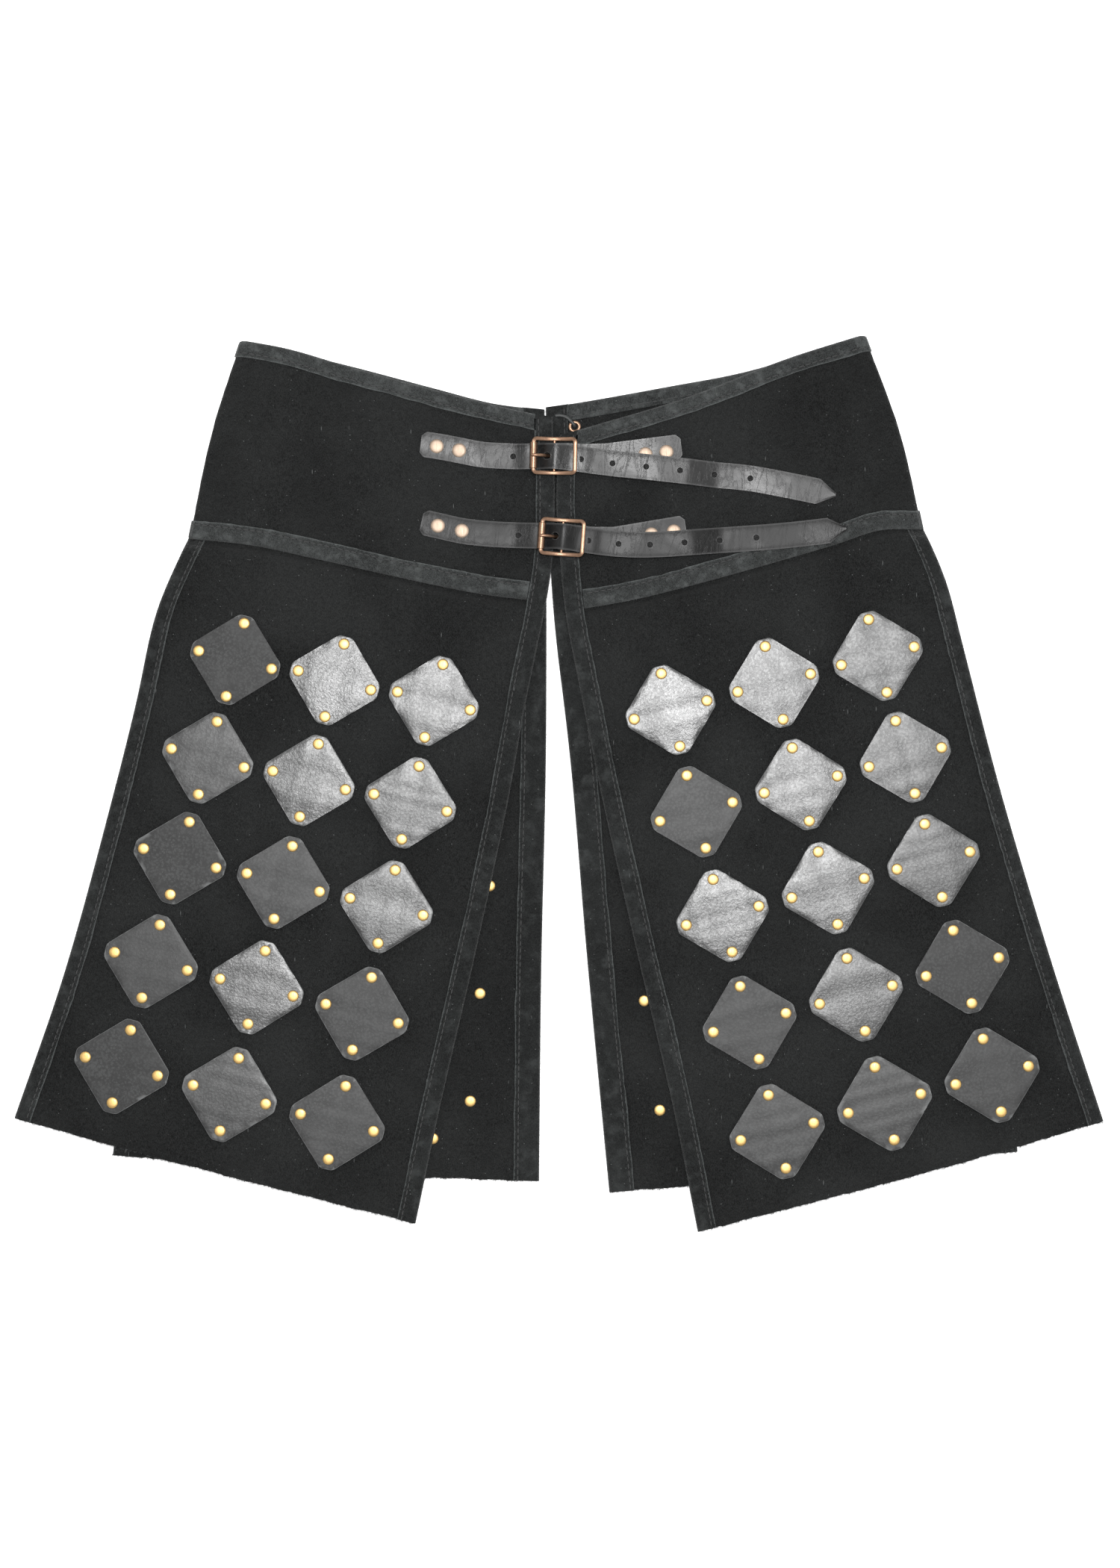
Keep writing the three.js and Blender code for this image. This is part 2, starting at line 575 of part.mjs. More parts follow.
// The short strap: riveted to the right half, folded round the centre bar and back on itself.
function shortStrap(strap) {
  const turn = THREE.MathUtils.degToRad(strap.turn);
  const buckle = new THREE.Vector3(...strap.buckle, 0);
  const axis = new THREE.Vector3(Math.cos(turn), Math.sin(turn), 0);
  const bend = buckle.clone().addScaledVector(axis, 30);
  const end = new THREE.Vector3(...strap.shortEnd, 0);
  const outward = end.clone().sub(bend).normalize();
  const straight = [[end, 0], [end, -3], [bend, 20], [bend, 4]]
    .map(([from, d]) => raised(from.clone().addScaledVector(outward, d), ON_TAPE));
  const fromBar = (d, z) => raised(buckle.clone().addScaledVector(axis, d), z);
  const folded = evenly(0, Math.PI, 8).map((angle) =>
    fromBar(-FOLD_OVER_BAR * Math.sin(angle), BAR_LEVEL - FOLD_OVER_BAR * Math.cos(angle)));
  const lowered = ON_TAPE + 2 * STRAP + GAP;
  const route = [...straight, fromBar(20, ON_TAPE), ...folded, fromBar(8, lowered), fromBar(17, lowered)];
  const reach = route.map(() => STRAP_HALF);
  reach[0] = STRAP_HALF - 3;
  const across = (direction) => new THREE.Vector3(direction.y, -direction.x, 0);
  const side = (i) => across(i < straight.length ? outward : axis);
  let solid = toSolid(ribbon(route, side, reach, STRAP));
  const slotHalf = TONGUE + 2 * GAP;
  const slot = prism([[-5, -slotHalf], [2.5, -slotHalf], [2.5, slotHalf], [-5, slotHalf]], 0, 30);
  slot.rotateZ(turn).translate(buckle.x, buckle.y, 0);
  solid = solid.subtract(toSolid(slot));
  strap.shortRivets.forEach((place) => {
    solid = solid.add(cap(place, ON_TAPE));
  });
  return fromSolid(solid);
}

// ---- buckles ----

// A round bar along a route; a closed route gives a ring.
function bar(points, radius, sides, closed) {
  const count = points.length;
  const ring = (i) => {
    const before = closed ? points[(i + count - 1) % count] : points[Math.max(0, i - 1)];
    const after = closed ? points[(i + 1) % count] : points[Math.min(count - 1, i + 1)];
    const tangent = after.clone().sub(before).normalize();
    const helper = Math.abs(tangent.z) > 0.9 ? new THREE.Vector3(1, 0, 0) : new THREE.Vector3(0, 0, 1);
    const across = helper.cross(tangent).normalize();
    const up = tangent.clone().cross(across);
    return evenly(0, 2 * Math.PI, sides).slice(0, sides).map((angle) => points[i].clone()
      .addScaledVector(across, radius * Math.cos(angle)).addScaledVector(up, radius * Math.sin(angle)));
  };
  const positions = points.flatMap((_, i) => ring(i).flatMap((p) => [p.x, p.y, p.z]));
  const triangles = [];
  const last = closed ? count : count - 1;
  for (let i = 0; i < last; i += 1) {
    for (let k = 0; k < sides; k += 1) {
      const [a, b] = [i * sides + k, i * sides + ((k + 1) % sides)];
      const [c, d] = [((i + 1) % count) * sides + ((k + 1) % sides), ((i + 1) % count) * sides + k];
      triangles.push(a, b, c, a, c, d);
    }
  }
  if (!closed) {
    for (let k = 1; k < sides - 1; k += 1) {
      const end = (count - 1) * sides;
      triangles.push(0, k + 1, k, end, end + k, end + k + 1);
    }
  }
  return facingOut(positions, triangles);
}

const v3 = (x, y, z) => new THREE.Vector3(x, y, z);

// Frame with its centre bar and tongue, made about the middle of the centre bar.
function buckleFrame() {
  const [hx, hy, r] = [FRAME_LENGTH / 2, FRAME_WIDTH / 2, FRAME_CORNER];
  const lift = (x) => (FRAME_LEVEL - BAR_LEVEL) * (x / hx) ** 2;
  const loop = [];
  [[1, 1, 0], [-1, 1, 90], [-1, -1, 180], [1, -1, 270]].forEach(([sx, sy, turn]) => {
    evenly(0, 90, 2).forEach((degrees) => {
      const angle = THREE.MathUtils.degToRad(turn + degrees);
      loop.push([sx * (hx - r) + r * Math.cos(angle), sy * (hy - r) + r * Math.sin(angle)]);
    });
    if (turn === 0 || turn === 180) {
      [6, 0, -6].forEach((x) => loop.push([sx * x, sy * hy]));
    }
  });
  const frame = bar(loop.map(([x, y]) => v3(x, y, lift(x))), FRAME_WIRE, 8, true);
  const centreBar = bar([v3(0, -hy, 0), v3(0, hy, 0)], BAR, 8, false);
  const onRoller = FRAME_LEVEL - BAR_LEVEL + ROLLER + GAP + TONGUE;
  const tongue = bar([v3(0, 0, 0), v3(-2.4, 0, 0.3), v3(-4.8, 0, 1.9), v3(-6.7, 0, 4.5),
    v3(-9.7, 0, onRoller - 0.8), v3(-hx, 0, onRoller), v3(-hx - 2, 0, onRoller - 0.2)], TONGUE, 8, false);
  return fromSolid(toSolid(frame).add(toSolid(centreBar)).add(toSolid(tongue)));
}

function roller() {
  const [inside, outside, half] = [FRAME_WIRE + GAP, ROLLER, ROLLER_LENGTH / 2];
  const profile = [[inside, -half], [outside, -half], [outside, half], [inside, half], [inside, -half]]
    .map(([x, y]) => new THREE.Vector2(x, y));
  const bare = new THREE.LatheGeometry(profile, 12);
  bare.deleteAttribute('normal');
  bare.deleteAttribute('uv');
  const tube = BufferGeometryUtils.mergeVertices(bare, 1e-4);
  return facingOut([...tube.attributes.position.array], [...tube.index.array])
    .translate(-FRAME_LENGTH / 2, 0, FRAME_LEVEL - BAR_LEVEL);
}

Object.entries(STRAPS).forEach(([name, strap]) => {
  addPiece(`strap_${name}_long`, longStrap(strap), strapLeather);
  addPiece(`strap_${name}_short`, shortStrap(strap), strapLeather);
  const placed = (geometry) => geometry.rotateZ(THREE.MathUtils.degToRad(strap.turn))
    .translate(strap.buckle[0], strap.buckle[1], BAR_LEVEL);
  addPiece(`buckle_${name}`, placed(buckleFrame()), copper);
  addPiece(`buckle_${name}_roller`, placed(roller()), copper);
});

// ---- the centre back: eyelet and lace ----
const backFace = BACK_WALL + CLOTH;
const eyeletProfile = [[EYELET_HOLE, BACK_WALL - 0.6], [EYELET_BARREL, BACK_WALL - 0.6],
  [EYELET_BARREL, backFace + GAP], [EYELET_FLANGE, backFace + GAP], [EYELET_FLANGE - 0.5, backFace + 1],
  [EYELET_HOLE, backFace + 1], [EYELET_HOLE, BACK_WALL - 0.6]].map(([x, y]) => new THREE.Vector2(x, y));
const eyeletLathe = new THREE.LatheGeometry(eyeletProfile, 16);
eyeletLathe.deleteAttribute('normal');
eyeletLathe.deleteAttribute('uv');
const eyeletRing = BufferGeometryUtils.mergeVertices(eyeletLathe, 1e-4);
addPiece('eyelet_right', facingOut([...eyeletRing.attributes.position.array], [...eyeletRing.index.array])
  .rotateX(Math.PI / 2).translate(EYELET_CENTRE[0], EYELET_CENTRE[1], 0), brass);

const laceLevel = backFace + OVER_TAPE + GAP + LACE;
const laceRoute = smoothLine([[-3.6, 246, laceLevel], [0, 246.3, laceLevel],
  [4, 245.2, laceLevel], [7.6, 242.2, laceLevel], [9.4, 240, laceLevel - 0.5],
  [9.8, 239.1, laceLevel - 1.8], [9.8, 239, BACK_WALL]]);
addPiece('lace', bar(evenly(0, 1, 18).map((t) => laceRoute(t)), LACE, 8, false), strapLeather);

export default group;
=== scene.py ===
# %% [markdown]
# # A leather-plated suede skirt, laid flat
# An armour skirt has two halves. Each half is a waistband that folds over at the side, with a front
# panel and a back panel sewn under it. Tapes bind every cut edge but the hems, square plates are
# riveted to the panels, and two buckled straps close the front. This lesson builds the finished look
# of each piece round a fixed model of the same skirt, which gives every piece its place.

# %% Load the fixed model
import math

import bmesh
import bpy
import numpy as np
from mathutils import Matrix, Vector


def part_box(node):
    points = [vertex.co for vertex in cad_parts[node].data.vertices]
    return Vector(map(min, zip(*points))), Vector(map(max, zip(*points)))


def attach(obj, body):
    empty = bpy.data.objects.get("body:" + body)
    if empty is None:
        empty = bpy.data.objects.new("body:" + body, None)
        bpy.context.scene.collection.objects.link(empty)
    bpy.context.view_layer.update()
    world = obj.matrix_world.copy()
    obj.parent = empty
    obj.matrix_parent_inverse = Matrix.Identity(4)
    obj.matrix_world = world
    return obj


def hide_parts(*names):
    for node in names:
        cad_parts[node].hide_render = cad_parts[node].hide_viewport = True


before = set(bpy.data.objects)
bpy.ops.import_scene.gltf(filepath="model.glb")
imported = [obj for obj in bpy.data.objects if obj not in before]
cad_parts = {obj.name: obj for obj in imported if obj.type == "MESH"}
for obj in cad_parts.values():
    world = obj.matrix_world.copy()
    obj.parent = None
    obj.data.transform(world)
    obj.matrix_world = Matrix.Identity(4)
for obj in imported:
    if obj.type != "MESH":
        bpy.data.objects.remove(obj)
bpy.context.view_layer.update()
print("nodes in the frame:", len(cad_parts))

# %% [markdown]
# Leather work is measured in millimetres and Blender works in metres, so every size below is written
# in millimetres and turned to metres once, when a mesh is finished. The thicknesses and levels are the
# ones that the fixed model is made with: the skirt is a stack of thin layers, and each layer's height
# over the table decides what may lie on what.

# %% Thicknesses and levels, in millimetres
MM = 0.001
CLOTH = 1.5                        # suede of the waistband and the panels
TAPE = 1.0                         # suede binding tape
GAP = 0.3                          # air between two pieces
OVER_TAPE = GAP + TAPE             # how far a tape stands off the cloth it binds
PLATE = 2.8                        # plate leather
RIVET_HEIGHT = 0.9                 # a brass cap above its plate
BACK_WALL = OVER_TAPE              # underside of the waistband's back wall
FRONT_WALL = 6.7                   # underside of its front wall
BACK_PANEL = PLATE + RIVET_HEIGHT  # underside of a back panel, which lies on its plates
FRONT_PANEL = 8.4                  # underside of a front panel
SIDE_SLOPE = 0.1                   # its fall past the back panel's side edge
FOLD_HEIGHT = (FRONT_WALL + BACK_WALL + CLOTH) / 2
FOLD_INSIDE = FOLD_HEIGHT - BACK_WALL - CLOTH
ON_WALL = FRONT_WALL + CLOTH + GAP
ON_TAPE = ON_WALL + TAPE + GAP
print("layers from the table up:", BACK_WALL, BACK_PANEL, FRONT_WALL, FRONT_PANEL, ON_TAPE)

# %% [markdown]
# The outline of each half is a handful of points along every edge, as a pattern cutter marks them on
# the hide, with a smooth line drawn through them. Inner means the opening or the centre back, and outer
# the side. x runs across the skirt and y towards the waist.

# %% The cut outlines
HALVES = {
    "left": {
        "out": -1,
        "waist_top": [(-5, 245), (-29, 249.5), (-85, 263), (-145, 279), (-185, 290.5), (-214.5, 296)],
        "waist_low": [(-9, 121.5), (-55, 127), (-165, 150), (-208, 159), (-249, 163.5)],
        "waist_front": [(-5, 245), (-3.5, 190), (-5, 150), (-9, 121.5)],
        "fold": [(-214.5, 296), (-234, 235), (-249, 163.5)],
        "back_top": [(-10.4, 250.5), (-45, 254.5), (-85, 264.5), (-145, 280), (-214.5, 296)],
        "back_low": [(-9, 106), (-120, 132), (-249, 163.5)],
        "back_edge": [(-10.4, 250.5), (-9, 106)],
        "front_hem": [(-96.5, -293.5), (-225, -261), (-365, -223.5)],
        "front_inner": [(-9, 121.5), (-23, 54), (-35, -13), (-58, -120), (-80, -215), (-96.5, -293.5)],
        "front_outer": [(-249, 163.5), (-269.5, 115), (-283, 55), (-298, -5), (-331, -125), (-365, -223.5)],
        "back_hem": [(-14, -265.5), (-160, -260), (-299, -248)],
        "back_inner": [(-9, 106), (-9.5, 10), (-12.5, -125), (-14, -265.5)],
        "back_outer": [(-249, 163.5), (-299, -248)],
        "back_plates": [(-59, 76), (-199, 86), (-85, -212), (-229, -206)],
        "back_turn": 0,
    },
    "right": {
        "out": 1,
        "waist_top": [(0, 233), (25, 240), (86, 258), (155, 284), (205, 299.5)],
        "waist_low": [(3, 115), (55, 124), (185, 159), (218, 169.5), (243.5, 170)],
        "waist_front": [(0, 233), (-2.6, 190), (0, 150), (3, 115)],
        "fold": [(205, 299.5), (228.5, 235), (243.5, 170)],
        "back_top": [(-9.5, 252), (15, 255.5), (75, 266), (130, 276.5), (205, 299.5)],
        "back_low": [(-3, 100), (115, 138), (243.5, 170)],
        "back_edge": [(-9.5, 252), (-6, 140), (-3, 100)],
        "front_hem": [(92, -299), (235, -262), (363.5, -225.5)],
        "front_inner": [(3, 115), (12, 70), (28, -9), (52, -115), (76, -218), (92, -299)],
        "front_outer": [(243.5, 170), (258, 135), (268.5, 95), (294.5, -5), (330.5, -125), (363.5, -225.5)],
        "back_hem": [(33, -273), (165, -262), (306, -245.5)],
        "back_inner": [(-3, 100), (7, 15), (18, -115), (33, -273)],
        "back_outer": [(243.5, 170), (306, -245.5)],
        "back_plates": [(50, 71), (188, 92), (91.5, -221.5), (235, -203)],
        "back_turn": -8,
    },
}


def line_length(points):
    """Length of a line of points, straight from one to the next."""
    return float(np.linalg.norm(np.diff(np.asarray(points, float), axis=0), axis=1).sum())


for side, half in HALVES.items():
    print(side, "front hem", round(line_length(half["front_hem"])), "mm")

# %% [markdown]
# A smooth line through a few points is a Catmull-Rom curve. Here its knots are spaced by the square
# root of the distance between the points, which stops it from looping where two points lie close, and
# it is then walked by its length, so that half way along the line is half way along its length.

# %% Smooth lines
CURVE_STEPS = 80                   # straight pieces between two points of a line


def read_along(wanted, walked, rows):
    """Rows of an array read part-way between each other, at the wanted distances along them."""
    return np.stack([np.interp(wanted, walked, column) for column in rows.T], -1)


def smooth_line(points):
    """Returns a function that gives the places on a smooth line for fractions of its length."""
    marks = np.asarray(points, float)
    marks = np.vstack([2 * marks[0] - marks[1], marks, 2 * marks[-1] - marks[-2]])
    gaps = np.sqrt(np.linalg.norm(np.diff(marks, axis=0), axis=1))
    steps = np.linspace(0, 1, CURVE_STEPS, endpoint=False)[:, None]
    pieces = []
    for i in range(1, len(marks) - 2):
        before, here, after, later = marks[i - 1:i + 3]
        g0, g1, g2 = gaps[i - 1:i + 2]
        leave = ((here - before) / g0 - (after - before) / (g0 + g1) + (after - here) / g1) * g1
        reach = ((after - here) / g1 - (later - here) / (g1 + g2) + (later - after) / g2) * g1
        cubic = 2 * here - 2 * after + leave + reach
        square = -3 * here + 3 * after - 2 * leave - reach
        pieces.append(here + leave * steps + square * steps ** 2 + cubic * steps ** 3)
    track = np.vstack(pieces + [marks[-2:-1]])
    walked = np.concatenate([[0], np.cumsum(np.linalg.norm(np.diff(track, axis=0), axis=1))])
    walked /= walked[-1]

    return lambda fractions: read_along(np.clip(fractions, 0, 1), walked, track)


middle = smooth_line(HALVES["left"]["front_inner"])(0.5)
print("half way down the left opening:", np.round(middle, 1))

# %% [markdown]
# A piece of hide with four edges is filled in between them. The fill blends the top line into the
# bottom line and the inner line into the outer one, and takes away the corners that this counts twice,
# so all four edges are met exactly. Any place on the piece then has two numbers: u across and v down.

# %% Filling in between four edges


def patch(top, bottom, inner, outer):
    """Places on the piece between four lines, at u across (0 inner) and v down (0 top)."""
    corners = [inner(0.0), outer(0.0), inner(1.0), outer(1.0)]

    def at(u, v):
        u, v = np.broadcast_arrays(np.asarray(u, float), np.asarray(v, float))
        across, down = u[..., None], v[..., None]
        place = top(u) * (1 - down) + bottom(u) * down + inner(v) * (1 - across) + outer(v) * across
        place = place - corners[0] * (1 - across) * (1 - down) - corners[1] * across * (1 - down)
        return place - corners[2] * (1 - across) * down - corners[3] * across * down

    return at


def lifted(flat, level):
    """Flat places with a height added."""
    return np.concatenate([flat, np.broadcast_to(level, flat.shape[:-1])[..., None]], -1)


def spread(start, end, count):
    return np.linspace(start, end, count + 1)


def unit(directions):
    """Directions with a length of 1."""
    return directions / np.linalg.norm(directions, axis=-1, keepdims=True)


# %% [markdown]
# ## Finishes
# Suede is the flesh side of a hide, brushed up into a nap: it has no shine, but its tone drifts from
# place to place as the nap leans one way or another, and it holds pale specks of lint. Grain leather
# is the other side, with fine pebbles and a soft gloss. Both are made of procedural noise. What two
# finishes share is a node group with named inputs, so each group is made once and reused.

# %% A small helper that places and joins nodes


class Nodes:
    """Adds nodes to one node tree and joins them up."""

    def __init__(self, tree):
        self.tree = tree

    def add(self, kind, inputs=None, **settings):
        node = self.tree.nodes.new(kind)
        for key, value in settings.items():
            setattr(node, key, value)
        for key, value in (inputs or {}).items():
            self.give(node.inputs[key], value)
        return node

    def give(self, socket, value):
        if isinstance(value, bpy.types.NodeSocket):
            self.tree.links.new(value, socket)
        else:
            socket.default_value = value

    def math(self, operation, a, b=0.0, clamp=False):
        node = self.add("ShaderNodeMath", {0: a, 1: b}, operation=operation, use_clamp=clamp)
        return node.outputs[0]

    def step(self, value, low, high, start=0.0, end=1.0):
        """start below low, end above high and a soft step between them."""
        inputs = {"Value": value, "From Min": low, "From Max": high, "To Min": start, "To Max": end}
        return self.add("ShaderNodeMapRange", inputs, interpolation_type="SMOOTHSTEP").outputs["Result"]

    def mix(self, factor, a, b):
        node = self.add("ShaderNodeMix", data_type="RGBA")
        for socket, value in zip((node.inputs[0], node.inputs[6], node.inputs[7]), (factor, a, b)):
            self.give(socket, value)
        return node.outputs[2]

    def noise(self, place, scale, detail=3.0, roughness=0.55, distortion=0.0):
        inputs = {"Vector": place, "Scale": scale, "Detail": detail, "Roughness": roughness,
                  "Distortion": distortion}
        return self.add("ShaderNodeTexNoise", inputs).outputs["Fac"]

    def cells(self, place, scale, feature="F1"):
        return self.add("ShaderNodeTexVoronoi", {"Vector": place, "Scale": scale}, feature=feature)

    def place(self):
        return self.add("ShaderNodeTexCoord").outputs["Object"]

    def mark(self, name):
        """A number that the mesh carries on its vertices."""
        return self.add("ShaderNodeAttribute", attribute_name=name).outputs["Fac"]

    def stretched(self, place, scale, turn=0.0):
        mapping = self.add("ShaderNodeMapping", {"Vector": place, "Scale": scale, "Rotation": (0, 0, turn)})
        return mapping.outputs["Vector"]


# %% [markdown]
# A node group is a small tree of its own. Its inputs are the few numbers and colours that may differ
# between the materials that use it, and its outputs are colours, masks and heights.

# %% Starting a node group


def new_group(name, inputs, outputs):
    """A shader node group with named sockets, its nodes helper and its two end nodes."""
    tree = bpy.data.node_groups.new(name, "ShaderNodeTree")
    for label, default in inputs.items():
        kind = "NodeSocketColor" if isinstance(default, tuple) else "NodeSocketFloat"
        tree.interface.new_socket(label, in_out="INPUT", socket_type=kind).default_value = default
    for label, kind in outputs.items():
        tree.interface.new_socket(label, in_out="OUTPUT", socket_type="NodeSocket" + kind)
    nodes = Nodes(tree)
    return nodes, nodes.add("NodeGroupInput").outputs, nodes.add("NodeGroupOutput").inputs


# %% [markdown]
# The nap group mixes a dark and a light tone three times: once in wide soft clouds, where the nap
# leans, once in clumps of fibres a millimetre or two across, and once in fibres finer than that. Lint
# comes from two fields of cells, one for dots and one squashed so that its dots become short hairs. A
# cell only shows lint if the random number it carries is high, so lint stays rare.

# %% The suede nap group
nap, given, result = new_group(
    "suede nap",
    {"Dark": (0.01, 0.01, 0.01, 1), "Light": (0.03, 0.03, 0.03, 1), "Lint": (0.1, 0.1, 0.1, 1),
     "Lint Amount": 0.5},
    {"Color": "Color", "Height": "Float"})
place = nap.place()
clouds = nap.step(nap.noise(place, 14, 3), 0.3, 0.7)
clumps = nap.step(nap.noise(place, 420, 3, 0.6, 0.4), 0.34, 0.66)
fibres = nap.noise(nap.stretched(place, (1.0, 0.45, 1.0), 0.5), 2300, 2, 0.7)
tone = nap.math("ADD", nap.math("MULTIPLY", clouds, 0.30), nap.math("MULTIPLY", clumps, 0.16))
tone = nap.math("ADD", tone, nap.math("MULTIPLY", nap.step(fibres, 0.36, 0.64), 0.6), clamp=True)
colour = nap.mix(tone, given["Dark"], given["Light"])
dots = nap.cells(place, 300)
dot_shows = nap.math("GREATER_THAN", dots.outputs["Color"], 0.66)
dot = nap.math("MULTIPLY", nap.step(dots.outputs["Distance"], 0.04, 0.12, 1.0, 0.0), dot_shows)
hairs = nap.cells(nap.stretched(place, (1.0, 0.16, 1.0), 0.7), 260)
hair_shows = nap.math("GREATER_THAN", hairs.outputs["Color"], 0.7)
hair = nap.math("MULTIPLY", nap.step(hairs.outputs["Distance"], 0.03, 0.09, 0.8, 0.0), hair_shows)
lint = nap.math("MULTIPLY", nap.math("MAXIMUM", dot, hair), given["Lint Amount"], clamp=True)
nap.give(result["Color"], nap.mix(lint, colour, given["Lint"]))
nap.give(result["Height"], nap.math("ADD", nap.math("MULTIPLY", clumps, 0.6), fibres))
print("suede nap:", len(nap.tree.nodes), "nodes")

# %% [markdown]
# A tape carries its own flat map, in which u is the distance along it and v the distance in from its
# raw edge, both in metres. The stitch group uses it to draw what sewing does to a tape: a pit where
# the needle went through, every few millimetres, a groove pulled down between the pits, and a raw edge
# that is scuffed pale. The tape darkens the pits and the groove as painted shade. The map follows the
# tape wherever it bends, which a pattern in space can't.

# %% The stitch and raw edge group
STITCH_LENGTH = 4.6                # needle hole to needle hole, mm
STITCH_INSET = 2.7                 # seam to raw edge, mm
PIT = 0.62                         # radius of a needle pit, mm

sewn, given, result = new_group(
    "sewn tape",
    {"Inset": STITCH_INSET * MM, "Length": STITCH_LENGTH * MM},
    {"Pits": "Float", "Groove": "Float", "Raw": "Float"})
map_parts = sewn.add("ShaderNodeSeparateXYZ", {0: sewn.add("ShaderNodeUVMap").outputs["UV"]}).outputs
along = sewn.math("FRACT", sewn.math("DIVIDE", map_parts["X"], given["Length"]))
along = sewn.math("MULTIPLY", sewn.math("SUBTRACT", along, 0.5), given["Length"])
across = sewn.math("SUBTRACT", map_parts["Y"], given["Inset"])
from_pit = sewn.math("SQRT", sewn.math("ADD", sewn.math("POWER", sewn.math("ABSOLUTE", along), 2),
                                       sewn.math("POWER", sewn.math("ABSOLUTE", across), 2)))
sewn.give(result["Pits"], sewn.step(from_pit, 0.3 * PIT * MM, 1.25 * PIT * MM, 1.0, 0.0))
sewn.give(result["Groove"], sewn.step(sewn.math("ABSOLUTE", across), 0.2 * MM, 1.5 * MM, 1.0, 0.0))
ragged = sewn.math("ADD", map_parts["Y"], sewn.math("MULTIPLY", sewn.math(
    "SUBTRACT", sewn.noise(sewn.place(), 600, 3), 0.5), 2.2 * MM))
sewn.give(result["Raw"], sewn.step(ragged, 0.1 * MM, 1.0 * MM, 1.0, 0.0))
print("sewn tape:", len(sewn.tree.nodes), "nodes")

# %% [markdown]
# Leather grain is a field of small rounded cells with valleys between them. Two sizes of cell, broken
# up by noise, look less like a net than one. Slow noise adds the loose, stretched places of a hide, and
# stretched noise the creases where a strap has been bent. The group gives heights and masks, and each
# leather decides how deep they go.

# %% The leather grain group
grain, given, result = new_group(
    "leather grain",
    {"Pebbles": 750.0, "Creases": 90.0, "Crease Turn": 0.0},
    {"Pebble Height": "Float", "Crease Height": "Float", "Blotches": "Float"})
place = grain.place()
warp = grain.add("ShaderNodeTexNoise", {"Vector": place, "Scale": 500.0}).outputs["Color"]
bent = grain.add("ShaderNodeMix", data_type="VECTOR")
for socket, value in zip((bent.inputs[0], bent.inputs[4], bent.inputs[5]), (0.0009, place, warp)):
    grain.give(socket, value)
bent = bent.outputs[1]
pebble = grain.cells(bent, given["Pebbles"], "SMOOTH_F1").outputs["Distance"]
fine = grain.cells(bent, grain.math("MULTIPLY", given["Pebbles"], 2.3)).outputs["Distance"]
loose = grain.noise(place, 60, 4)
pebble_height = grain.math("ADD", grain.math("MULTIPLY", pebble, -1.0), grain.math("MULTIPLY", fine, -0.45))
tightness = grain.step(loose, 0.3, 0.7, 0.75, 1.0)
grain.give(result["Pebble Height"], grain.math("MULTIPLY", pebble_height, tightness))
turned = grain.add("ShaderNodeVectorRotate", {"Vector": place, "Angle": given["Crease Turn"]},
                   rotation_type="Z_AXIS").outputs[0]
lines = grain.noise(grain.stretched(turned, (1.0, 0.22, 1.0)), given["Creases"], 5, 0.62, 1.2)
ridge = grain.math("ABSOLUTE", grain.math("SUBTRACT", lines, 0.5))
grain.give(result["Crease Height"], grain.step(ridge, 0.0, 0.035))
grain.give(result["Blotches"], grain.step(grain.noise(place, 34, 4, 0.6, 0.6), 0.32, 0.7))
print("leather grain:", len(grain.tree.nodes), "nodes")

# %% [markdown]
# A material starts from the Principled shader. Its plain numbers, such as how strong the sheen is, are
# set on the shader itself, and only colour, roughness and the bumps come through nodes. Bumps are in
# metres, so a nap 0.2 mm deep is written as that.

# %% Starting a material


def new_material(name, **settings):
    """A material with its nodes helper and its Principled shader, whose plain numbers are set here."""
    material = bpy.data.materials.new(name)
    material.use_nodes = True
    nodes = Nodes(material.node_tree)
    shader = material.node_tree.nodes["Principled BSDF"]
    for key, value in settings.items():
        shader.inputs[key.replace("_", " ")].default_value = value
    return material, nodes, shader.inputs


def use_group(nodes, group, **inputs):
    node = nodes.add("ShaderNodeGroup", node_tree=group.tree)
    for key, value in inputs.items():
        nodes.give(node.inputs[key.replace("_", " ")], value)
    return node.outputs


def bump(nodes, height, depth, strength=1.0, under=None):
    """A bump of a depth in mm, laid over another bump if one is given."""
    node = nodes.add("ShaderNodeBump", {"Height": height, "Distance": depth * MM, "Strength": strength})
    if under is not None:
        nodes.give(node.inputs["Normal"], under)
    return node.outputs["Normal"]


def grey(value, cool=0.0):
    """A grey, a little towards blue-green where cool is over 0."""
    return (value * (1 - cool), value * (1 + 0.35 * cool), value * (1 + 0.2 * cool), 1)


# %% [markdown]
# The cloth and the tapes are the same kind of suede, but the tapes are cut from a lighter hide with a
# longer nap, lightest round the waist, so they get lighter tones and deeper bumps. A little sheen makes
# the nap glow where a fold turns away from the eye.

# %% Suede cloth and suede tape
suede, nodes, shader = new_material("suede cloth", Roughness=1.0, Specular_IOR_Level=0.12,
                                    Sheen_Weight=0.06, Sheen_Roughness=0.5)
look = use_group(nodes, nap, Dark=grey(0.0015, 0.03), Light=grey(0.0225, 0.03), Lint=grey(0.17, 0.03),
                 Lint_Amount=0.6)
nodes.give(shader["Base Color"], look["Color"])
nodes.give(shader["Normal"], bump(nodes, look["Height"], 0.4, 1.0))

